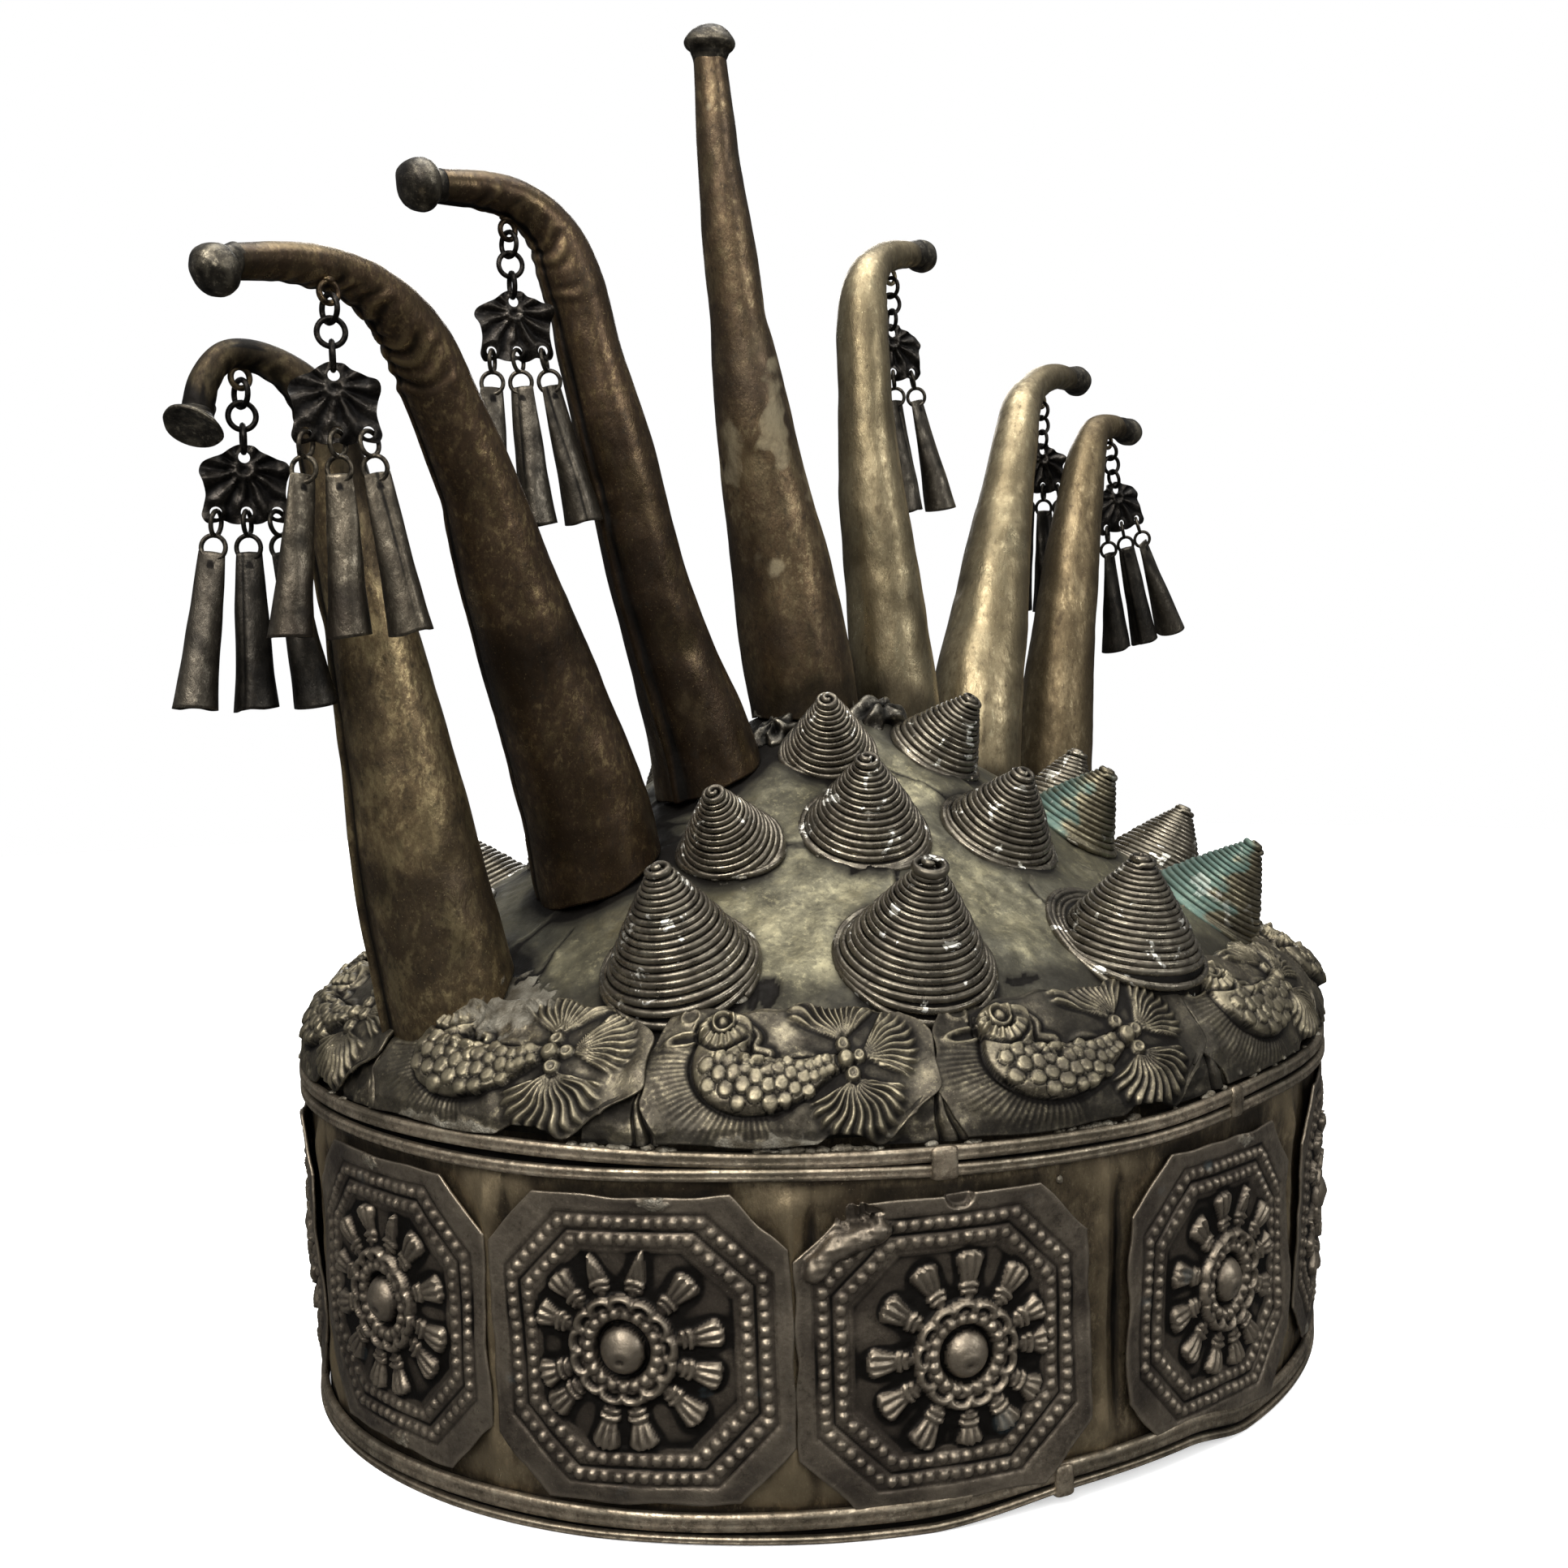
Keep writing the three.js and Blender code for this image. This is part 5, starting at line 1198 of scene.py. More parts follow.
def make_fish():
    fp = np.array(FISH_PROFILE)
    fs = np.r_[0, np.cumsum(np.linalg.norm(np.diff(fp, axis=0), axis=1))]
    T = unit(np.gradient(fp, fs, axis=0))
    Nn = np.stack([T[:, 1], -T[:, 0]], 1)
    n, m = 230, 118
    for k in range(12):
        rng = np.random.default_rng(1500 + k)
        u = np.linspace(0, 1, n)[:, None] + np.zeros((1, m))
        v = np.linspace(0, 1, m)[None, :] + np.zeros((n, 1))
        W = 49.6
        left = 0.3 + 0.9 * np.sin(v * 7 + k) + 0.5 * np.sin(v * 17 + 2 * k) + 2.3 * smooth(v, 0.28, 0.0) + 1.2 * smooth(v, 0.75, 1.0)
        right = W - 0.6 + 0.3 * np.sin(v * 9 + k) - 5.0 * smooth(v, 0.3, 0.0) ** 1.5 - 6.0 * smooth(v, 0.62, 1.0) ** 2
        low = 0.25 + 0.25 * np.sin(u * 11 + k) + 1.4 * smooth(u, 0.60, 0.68) * smooth(u, 0.86, 0.76) + 4.2 * smooth(u, 0.84, 1.0) ** 1.3
        high = 23.4 + 0.5 * np.sin(u * 13 + k) + 0.35 * np.sin(u * 31 + 3 * k) - 2.2 * smooth(u, 0.86, 1.0) - 1.6 * smooth(u, 0.1, 0.0)
        x = left + (right - left) * u
        y = low + (high - low) * v
        Q = np.stack([x, y], -1)
        h = fish_relief(x, y, 1600 + k % 4)
        paint = relief_paint(h, 0.213, 0.6)
        warp = 0.2 * waves(Q, 15, 1700 + k) + 0.1 * waves(Q, 6, 1720 + k)
        warp += 0.7 * smooth(u, 0.9, 1.0) + 0.35 * smooth(u, 0.06, 0.0) * np.sin(v * 6 + k)
        # the top edge is bedded into the cap
        bed = smooth(v, 0.94, 1.0)
        H = (h * (1 - 0.55 * bed)) + warp * (1 - bed) - 0.6 * bed
        edge = np.minimum(np.minimum(u, 1 - u) * W, np.minimum(v, 1 - v) * 24)
        paint = paint + 0.1 * smooth(edge, 0.8, 0.1) + 0.08 * waves(Q, 10, 1740 + k)
        # darker towards the lower edge; the eighth and ninth plaques darker overall as painted shade
        paint = paint - 0.12 * smooth(y, 3.5, 0.5) - {7: 0.09, 8: 0.19}.get(k, 0.0)
        crust = 0.8 * smooth(waves(Q, 4.5, 1760 + k), 0.7, 1.5) * smooth(y, 3.2, 0.8)
        if k == 6:
            crust = np.maximum(crust, 0.8 * smooth(np.hypot((x - 20) / 10, (y - 21) / 7) + 0.2 * waves(Q, 4, 1790), 1.1, 0.5))
        if k in (6, 7):
            crust = np.maximum(crust, 0.9 * smooth(np.abs(x - 22 + 4 * (k == 6)), 11, 7) * smooth(y + 0.6 * waves(Q, 3, 1780), 1.9, 0.7))
        H = H + 0.4 * crust
        sink = 0.22 * (k % 2)

        def place(px, py, ph, k=k):
            s = np.clip(py, -0.3, fs[-1])
            a = np.interp(s, fs, fp[:, 0])
            z = np.interp(s, fs, fp[:, 1])
            nr = np.interp(s, fs, Nn[:, 0])
            nz = np.interp(s, fs, Nn[:, 1])
            # widths shrink with the circumference up the slope; keep the plaque whole and let it lap its neighbour
            wide = (FISH_AT[k + 1] - FISH_AT[k]) * 1.012
            ux, uy, tx, ty, nx, ny = oval_at((FISH_AT[k] + (px / 49.2) * wide) / 12)
            o = 0.5 + ph
            sag = ring_dip((FISH_AT[k] + (px / 49.2) * wide) / 12) * (1 + 0.4 * np.exp(-(((s - 11) / 5) ** 2))) * smooth(s, fs[-1], 14)
            return np.stack([ux * a + nx * nr * o, uy * a + ny * nr * o, z + nz * o + sag], -1)

        sheet(f"fish_plaque_{k + 1:02d}", Q, H, place, M["fish"], None, thick=0.5, flange=1.0,
              attrs={"relief": np.clip(paint, 0, 1), "crust": crust}, slot="cap_sheet", stands_for=["fish_frieze"])
        # the sheet seen in the gap to the plaque before, with a curled edge
        gx = np.linspace(-8.8, 3.8, 90)[:, None] + np.zeros((1, 70))
        gy = np.linspace(-0.25, 10.5, 70)[None, :] + np.zeros((90, 1))
        G = np.stack([gx, gy], -1)
        c = (gx + 0.2 - 1.3 * smooth(gy, 7, 0) - 0.15 * np.sin(gy * 0.9 + k)) / (0.35 + 0.6 * smooth(gy, 7.5, 0))
        gh = -0.95 + 0.16 * waves(G, 7, 1800 + k) + 0.05 * waves(G, 2.5, 1820 + k)
        gh += 0.6 * np.exp(-(c**4)) - 0.45 * np.exp(-(((np.abs(c) - 1.4) / 0.3) ** 2))
        cut = gx + 0.2 + 5.0 * smooth(gy / 23.4, 0.3, 0.0) ** 1.5
        # painted shade in thin lines each side of the curl, by the edge of the plaque before and along the bottom; a
        # painted highlight along the curl
        gp = 0.46 + 0.1 * waves(G, 4, 1840 + k) + 0.1 * np.exp(-(c**2) * 3) - 0.5 * np.exp(-(((np.abs(c) - 1.35) / 0.3) ** 2))
        gp -= 0.25 * smooth(cut, 1.3, 0.1) + 0.3 * smooth(gy, 1.0, 0.0)
        sheet(f"fish_gap_sheet_{k + 1:02d}", G, gh, place, M["fish"], None, thick=0.35, flange=0.5,
              attrs={"relief": np.clip(gp, 0, 1), "crust": 0 * gh}, slot="cap_sheet", stands_for=["fish_frieze"])


# ------------------------------------------------------------------ horns
HORNS = {
    1: [(-86.5, 0, 69.4, 10.4), (-90.5, 0.1, 86.6, 9.8), (-95, 0.2, 108.4, 8.3), (-98.5, 1, 127.1, 6.72), (-101.7, 1.9, 141.8, 5.63), (-104.1, 2.9, 156.2, 4.34), (-106.7, 3.6, 164.4, 3.33), (-110.9, 4.2, 168.2, 2.53), (-116.4, 4.9, 169.8, 2.13), (-120, 5.2, 169.1, 1.97), (-122.9, 5.6, 165.4, 2.03), (-124, 5.9, 160.7, 2.23), (-124.3, 6, 158.1, 4.25)],
    2: [(-56, 0, 87.2, 10.9), (-59.4, -0.2, 99.8, 10.6), (-64.9, -0.7, 113.7, 9.6), (-70.3, -1.2, 127, 8.6), (-76.4, -2.2, 139.9, 7.29), (-81.9, -3.3, 152.3, 6.18), (-88.6, -4.5, 164, 5.67), (-93.6, -5.8, 171.9, 5.17), (-98.6, -7.1, 176.4, 4.27), (-104.8, -8.3, 179.2, 3.57), (-112.3, -9.7, 180.3, 3.07), (-119.5, -11.1, 179.9, 2.67), (-127.9, -12.4, 178.4, 2.37), (-129.2, -12.7, 178, 3.56), (-132.4, -13.4, 176.8, 3.56), (-133.6, -13.7, 176.4, 2.18)],
    3: [(-30.4, 0, 103.8, 10.1), (-33.1, 0, 112.6, 9.2), (-39.4, 0, 127.1, 7.7), (-44.7, 0, 141.1, 6.8), (-48.5, 0, 154.7, 6.4), (-52.3, 0.6, 168.1, 5.82), (-54.9, 1.2, 177.4, 5.43), (-57.6, 2, 187.9, 5.04), (-61.3, 2.7, 196.1, 4.15), (-67.4, 3.3, 200, 3.35), (-73.5, 3.9, 200.7, 2.95), (-82.5, 4, 199.9, 2.54), (-84, 4, 199.7, 4.07), (-87.8, 4, 198.9, 4.07), (-89.3, 4, 198.5, 2.44)],
    4: [(-5.2, 0, 116.3, 10.4), (-7.4, 0, 127.1, 10.2), (-10.7, 0, 142.2, 9.2), (-14.7, 0, 156.9, 7.9), (-17.9, 0, 171.4, 6.7), (-20.7, 0, 185.7, 5.5), (-23, 0, 199.8, 4.7), (-25, 0, 213.7, 3.8), (-26.9, 0, 231.6, 2.8), (-27.1, 0, 233.2, 4.4), (-27.3, 0, 235.6, 4.4), (-27.4, 0, 237, 2.6)],
    5: [(21.4, 0, 115.7, 8.5), (20, 0.3, 127.1, 8.1), (18.6, 0.9, 143.2, 7.4), (16.9, 1.7, 159.1, 6.5), (17.1, 3.1, 175.2, 5.51), (18.5, 4.7, 191.4, 5.12), (21.6, 6.3, 200.8, 4.12), (27.9, 7.9, 206.1, 3.22), (36.3, 9.5, 208.8, 2.72), (41.8, 10.4, 209.6, 2.52), (42.9, 10.6, 209.7, 3.63), (45.8, 11, 209.8, 3.63), (47.1, 11.2, 209.8, 2.22)],
    6: [(47.4, 0, 111.7, 9.6), (49.5, 0.5, 120.4, 9.4), (53.1, 1.4, 129, 8.8), (58.1, 2.7, 143.5, 7.5), (64.6, 4.4, 158.4, 6.02), (70.9, 6.2, 173.7, 4.81), (75.9, 8.2, 181.4, 4.32), (83.5, 10.1, 186.9, 3.42), (94.4, 12.3, 190.5, 2.81), (102.8, 13.6, 190.8, 2.51), (104, 13.8, 190.7, 3.73), (107.1, 14.3, 190.4, 3.73), (108.3, 14.5, 190.2, 2.22)],
    7: [(75.6, 0, 105.4, 8.5), (77.2, 0.1, 118, 7.9), (79.4, 0.2, 129, 7.2), (83, 0.5, 144.1, 6.3), (87.1, 0.7, 159.4, 5.2), (90.8, 1, 171.1, 4.2), (94.6, 1.3, 176.6, 3.3), (101.7, 1.6, 178.5, 2.6), (106.2, 1.8, 178.1, 2.4), (107.2, 1.9, 178, 3.5), (110, 2, 177.4, 3.5), (111.1, 2, 177.1, 2.2)],
}
HORN_FOOT = {1: (-84.6, 60), 2: (-53.4, 78), 3: (-27.6, 94), 4: (-3.4, 106), 5: (22.6, 100), 6: (45.2, 84), 7: (73.2, 68)}
TIP_ROWS = {1: 1, 2: 3, 3: 3, 4: 3, 5: 3, 6: 3, 7: 3}  # how many of the last rows are the finial
EYE_R, EYE_WIRE = 1.5, 0.45
# per horn: seam angle at the foot and higher up (degrees round the tube, 0 towards +Y), seam step, crinkle strength
SEAM = {1: (66, 66, 0.75, 0.4), 2: (58, 70, 0.5, 1.0), 3: (107, 84, 0.7, 0.6), 4: (300, 320, 0.4, 0.0), 5: (250, 300, 0.4, 0.4), 6: (300, 330, 0.4, 0.25), 7: (310, 330, 0.4, 0.25)}


def make_horn(hid):
    rows = HORNS[hid]
    k = TIP_ROWS[hid]
    fx, fz = HORN_FOOT[hid]
    tube_rows = [(fx, 0, fz, rows[0][3] * 1.02)] + list(rows[:-k])
    n, m = 380, 88
    C, L = catmull(tube_rows, n)
    T = unit(np.gradient(C[:, :3], axis=0))
    U = unit(np.array([0, 1.0, 0]) - T * T[:, 1:2])
    Vv = np.cross(T, U)
    a = TAU * np.arange(m) / m
    A = np.broadcast_to(a, (n, m))
    s = np.linspace(0, L, n)[:, None] + 0 * A
    base_r = C[:, 3][:, None]
    dirs = U[:, None] * np.cos(a)[None, :, None] + Vv[:, None] * np.sin(a)[None, :, None]
    X = C[:, None, :3] + dirs * base_r[..., None]
    seam_low, seam_high, seam_step, crinkle = SEAM[hid]
    sa = np.radians(seam_low + (seam_high - seam_low) * smooth(s, 10, 110)) + 0.03 * np.sin(s / 31 + hid)
    da = (A - sa + math.pi) % TAU - math.pi
    arc = da * base_r
    thick = np.clip(base_r / 6, 0.35, 1)
    d = 0.16 * waves(X, 34, 2000 + hid) * thick + 0.07 * waves(X, 12, 2020 + hid) * thick + 0.022 * waves(X, 4, 2040 + hid) * thick
    # a few real dents
    rng = np.random.default_rng(2100 + hid)
    for _ in range(9):
        i, j = rng.integers(20, n - 40), rng.integers(0, m)
        w = rng.uniform(1.8, 4.2)
        dd = np.linalg.norm(X - X[i, j], axis=-1) / w
        d -= rng.uniform(0.12, 0.42) * np.exp(-dd * dd) * thick
    rel = 0.5 + 0.09 * waves(X, 12, 2200 + hid)
    # the lengthwise lap
    lap = seam_step * thick * smooth(arc, 0.3, -0.25) * smooth(arc, -7.5, -1.0)
    d += lap
    rel -= (0.75 if hid == 3 else 0.5) * np.exp(-(((arc - 0.35) / (0.46 if hid == 3 else 0.36)) ** 2))
    # a painted highlight along the lap's raised edge, beside its dark joint
    rel += 0.22 * np.exp(-(((arc + 0.5) / 0.4) ** 2))
    if hid in (1, 3):  # its overlapping edge stands a little open towards the foot
        op = smooth(s, 75, 20)
        d += 0.8 * op * np.exp(-(((arc + 0.7) / 0.8) ** 2))
        # painted shade under the opened edge
        rel -= 0.3 * op * np.exp(-(((arc - 0.9) / 0.8) ** 2))
    # creases squeezed up on the inside of the bend
    curv = np.gradient(T, axis=0) / (L / n)
    cmag = np.linalg.norm(curv, axis=1)
    inward = unit(curv + 1e-9)
    facing = np.sum(dirs * inward[:, None], -1)
    zone = smooth(blur(cmag[:, None], 6)[:, :1], 0.010, 0.026) * smooth(facing, 0.0, 0.8) * smooth(s, 55, 80)
    if crinkle:
        ph = s / 2.1 + 0.5 * np.sin(A * 3 + s / 5)
        crease = np.sin(ph * TAU / 1.7) + 0.5 * np.sin(ph * TAU / 2.9 + 2)
        d += crinkle * 0.34 * zone * crease * thick
        # lighter on the crease crests and darker in the troughs: painted highlight and painted shade
        rel += crinkle * 0.26 * zone * crease
    # faint dull lines along the sheet
    rel -= 0.1 * smooth(waves(np.stack([arc * 1.0 + 0 * s, s / 14], -1), 3.2, 2300 + hid), 0.8, 1.6)
    # foot: an open, slanting cut just above the cap
    P = C[:, None, :3] + dirs * (base_r + d)[..., None]
    if hid in (1, 2, 3):
        gap = {1: 0.9, 2: 0.8, 3: 1.1}[hid] + 0.8 * np.sin(a * 2 + hid) * 0.5 + 0.35 * np.sin(5 * a + 2 * hid)
    else:
        gap = 0.3 + 0.35 * np.sin(3 * a + hid) + 0.2 * np.sin(7 * a)
    gap = np.maximum(gap, 0.1)
    clear = P[..., 2] - cap_z(P[..., 0], P[..., 1]) - gap[None]
    cut = np.zeros(m)
    for j in range(m):
        bad = np.nonzero(clear[:, j] < 0)[0]
        i = bad[-1] if len(bad) else 0
        i = min(i, n - 2)
        f = -clear[i, j] / max(clear[i + 1, j] - clear[i, j], 1e-6) if len(bad) else 0
        cut[j] = i + min(max(f, 0), 1)
    cut = np.convolve(np.r_[cut[-3:], cut, cut[:3]], np.array([1, 2, 3, 4, 3, 2, 1]) / 16, "valid")
    nn = 330
    t = np.linspace(0, 1, nn) ** 1.0
    src = cut[None, :] + (n - 1 - cut[None, :]) * t[:, None]
    i0 = np.clip(np.floor(src).astype(int), 0, n - 2)
    f = src - i0
    jj = np.broadcast_to(np.arange(m), (nn, m))

    def pick(F):
        if F.ndim == 3:
            return F[i0, jj] * (1 - f)[..., None] + F[i0 + 1, jj] * f[..., None]
        return F[i0, jj] * (1 - f) + F[i0 + 1, jj] * f

    Po, Rl = pick(P), pick(np.broadcast_to(rel, (n, m)).copy())
    D = pick(dirs)
    sh = pick(s.copy())
    from_foot = sh - sh[0:1]
    # a painted highlight on the cut edge, then darker just above it: painted shade near the cap
    Rl = Rl + 0.22 * np.exp(-from_foot / 0.7) - 0.22 * smooth(from_foot, 16, 0) * (hid > 3) - 0.10 * smooth(from_foot, 10, 0)
    # finial side is darker in the neck
    if hid == 1:  # darker beyond the bend
        Rl -= 0.34 * smooth(L - sh, 60, 22)
    if hid in (2, 3):  # painted highlight on the upward-facing side along the top of the bend
        Rl += (0.34 if hid == 2 else 0.2) * smooth(D[..., 2], 0.25, 0.85) * smooth(L - sh, 85, 55)
    Rl -= 0.12 * smooth(L - sh, 5, 0) + (0.3 * smooth(L - sh, 9, 0) if hid > 4 else 0)
    parts = Parts()
    # inside of the foot, seen through the gap
    depth = 26
    Pin = Po[:depth] - D[:depth] * 0.75
    V = np.concatenate([Pin[::-1], Po], 0)
    # painted shade inside the tube, darkest deepest in
    rl = np.concatenate([np.broadcast_to(np.linspace(0.04, 0.28, depth)[:, None], (depth, m)), np.clip(Rl, 0, 1)], 0)
    crust = np.zeros_like(rl)
    if hid == 1:
        face = smooth(np.cos(a - math.radians(150)), 0.2, 0.9)
        e = np.concatenate([np.zeros((depth, m)), np.clip(smooth(from_foot, 6, 0.5) * face[None] * 1.2, 0, 1)], 0)
        crust = e * smooth(waves(V, 3.4, 2401), -0.2, 0.8)
    elif hid > 3:
        e = np.concatenate([np.zeros((depth, m)), smooth(from_foot, 3.5, 0.2)], 0)
        crust = e * 0.7 * smooth(waves(V, 3.0, 2400 + hid), 0.2, 1.1)
    stain = np.zeros_like(rl)
    if hid == 4:
        sv = np.concatenate([np.zeros((depth, m)), sh], 0)
        wv = waves(V * np.array([1, 1, 0.45]), 9, 2501) + 0.5 * waves(V, 4, 2502)
        stain = 0.62 * smooth(wv + 1.5 * np.exp(-(((sv - 58) / 17) ** 2)) + 0.6 * np.exp(-(((sv - 112) / 9) ** 2)), 0.6, 2.2)
    q = grid_quads(depth + nn, m, False, True)
    parts.add(V, q, relief=rl.ravel(), crust=crust.ravel(), stain=stain.ravel())
    # finial, turned about the tip's own line
    tip = C[-1, :3]
    fr = rows[-k:]
    end = np.array(fr[-1][:3], float)
    ax = unit(T[-1] * 0.6 + unit(end - tip) * 0.4) if hid != 1 else unit(end - np.array(rows[-3][:3]))
    R = max(r[3] for r in fr)
    r0 = rows[-k - 1][3]
    e = Lf = float(np.linalg.norm(end - tip))
    dents = 0.07
    if hid == 1:  # trumpet mouth, its shallow closed face turned to the viewer's side
        ax = unit(ax * 0.86 + np.array([-0.72, -0.69, 0]) * 0.5)
        prof = [(-1.6, r0 * 0.98), (-0.4, r0 * 1.0), (0.4, r0 * 1.1), (1.0, r0 * 1.3), (1.5, r0 * 1.6), (1.9, R * 0.88), (2.15, R * 0.98), (2.45, R * 1.01), (2.75, R * 0.98), (2.85, R * 0.9), (2.7, R * 0.76), (2.55, R * 0.5), (2.6, R * 0.25), (2.6, 0.05)]
        lobes, amp = 3, 0.03
    elif hid == 4:  # flat cap with a thin uneven brim
        ax = unit(ax + np.array([0.10, -0.06, 0]))
        prof = [(-1.6, r0 * 0.97), (-0.5, r0 * 1.04), (0.2, r0 * 1.14), (0.8, R * 0.78), (1.3, R * 0.93), (1.75, R * 1.0), (2.2, R * 1.03), (2.7, R * 1.0), (3.3, R * 0.92), (4.1, R * 0.79), (4.8, R * 0.6), (5.25, R * 0.35), (5.45, 0.05)]
        lobes, amp = 3, 0.05
    elif hid in (2, 3):  # squat bead
        ax = unit(ax + np.array([0, 0, -0.3])) if hid == 2 else ax
        prof = [(-0.7, r0 * 0.99), (e * 0.2, r0 * 0.99), (e * 0.25, r0 * 1.03), (e * 0.28, R * 0.78), (e * 0.32, R * 0.9), (e * 0.4, R * 0.98), (e * 0.52, R * 1.03), (e * 0.66, R * 1.01), (e * 0.78, R * 0.92), (e * 0.88, R * 0.77), (e * 0.95, R * 0.55), (e * 1.0, R * 0.3), (e * 1.02, 0.05)]
        lobes, amp, dents = 2, 0.02, 0.1
    else:  # the tube swells to a blunt rounded end
        R *= 0.94
        prof = [(-3.2, r0 * 0.99), (-1.8, r0 * 1.04), (-0.6, r0 * 1.14), (0.6, R * 0.9), (1.7, R * 0.97), (2.8, R * 0.99), (e * 0.74, R * 0.93), (e * 0.87, R * 0.78), (e * 0.96, R * 0.56), (e * 1.02, R * 0.3), (e * 1.04, 0.05)]
        lobes, amp = 2, 0.02
    pr = np.array(prof)
    tt = np.linspace(0, 1, 64)
    ss = np.r_[0, np.cumsum(np.hypot(*np.diff(pr, axis=0).T))]
    px = np.interp(tt * ss[-1], ss, pr[:, 0])
    rr = np.interp(tt * ss[-1], ss, pr[:, 1])
    ker = np.array([1, 2, 1]) / 4
    rr[1:-1] = np.convolve(rr, ker, "same")[1:-1]
    u = unit(U[-1] - ax * (U[-1] @ ax))
    w = np.cross(ax, u)
    mm = 44
    b = TAU * np.arange(mm) / mm
    k_ = 1 + amp * np.sin(lobes * b + hid)[None] * smooth(rr, R * 0.6, R)[:, None]
    Pf = tip + ax * px[:, None, None] + (u * np.cos(b)[:, None] + w * np.sin(b)[:, None])[None] * (rr[:, None] * k_)[..., None]
    Pf = Pf + dents * waves(Pf, 3.6, 2600 + hid)[..., None] * unit(Pf - (tip + ax * Lf / 2))
    relf = 0.44 + 0.2 * smooth(rr, R * 0.85, R)[:, None] + 0.12 * waves(Pf, 2.5, 2620 + hid) - 0.2 * np.exp(-((px - 0.3) / 0.4) ** 2)[:, None]
    V = np.vstack([Pf.reshape(-1, 3), [tip + ax * (px[-1] + 0.02)]])
    q = grid_quads(64, mm, False, True)
    i = np.arange(mm)
    tri = np.stack([63 * mm + i, np.full(mm, 64 * mm), 63 * mm + (i + 1) % mm], 1)[:, ::-1]
    knob = Parts()
    knob.add(V, q, tri, relief=np.r_[np.clip(relf, 0, 1).ravel(), 0.5], crust=0.0, stain=0.0)
    knob.done(f"horn_tip_{hid}", M["tip"], stands_for=[f"horn_{hid}"], slot="horn_sheet_dark")
    # the eye that carries the pendant
    if hid in PENDANTS:
        F = pendant_frame(PENDANTS[hid])
        V, q, _ = torus(F["at"] - F["down"] * EYE_R, [0, 1, 0], EYE_R, EYE_WIRE, 32, 12)
        parts.add(V, q, relief=0.4 + 0.15 * waves(V, 1.2, 2700 + hid), crust=0.0, stain=0.0)
        lump(parts, F["at"] - F["down"] * (EYE_R * 2 + 0.25), [1, 0, 0], [0, 1, 0], [0, 0, 1], 1.1, 0.8, 0.5, 2710 + hid, 14, 8, 0.45, 0.3)
    mat = M[{1: "horn_worn", 2: "horn_dark", 3: "horn_dark", 4: "horn_mid", 5: "horn_light", 6: "horn_light", 7: "horn_warm"}[hid]]
    parts.done(f"horn_tube_{hid}", mat, stands_for=[f"horn_{hid}"], slot="horn_sheet_dark" if hid < 4 else "horn_sheet_light")


def crumple(name, px, py, size, seed, mat):
    """A scrap of sheet crushed against a horn's foot."""
    c = on_cap(px, py)
    if c is None:
        return
    nr = cap_normal(c[0], c[1])
    n, m = 44, 30
    a = TAU * np.arange(n) / n
    b = np.linspace(-0.35, math.pi / 2, m)
    A, B = np.meshgrid(a, b, indexing="ij")
    D = np.stack([np.cos(B) * np.cos(A), np.cos(B) * np.sin(A), np.sin(B)], -1)
    k = 1 + 0.2 * np.sin(5 * A + 2.5 * B + seed) * np.cos(B) ** 0.5 + 0.14 * waves(D * size, size * 0.8, seed)
    ux = unit(np.cross([0, 1, 0], nr))
    uy = np.cross(nr, ux)
    P = c - nr * 0.6 + (D[..., 0:1] * ux * 1.35 + D[..., 1:2] * uy * 0.9 + D[..., 2:3] * nr * 0.95) * (size * k)[..., None]
    # lighter where it bulges out, darker in the dents: painted highlight and painted shade
    rel = np.clip(0.4 + 0.45 * (k - k.mean()) / 0.2, 0.05, 0.85)
    V = np.vstack([P.reshape(-1, 3)])
    parts = Parts()
    q = grid_quads(n, m, True, False)
    parts.add(V, q, relief=rel.ravel(), crust=0.0, stain=0.0)
    parts.done(name, mat, slot="horn_sheet_dark")


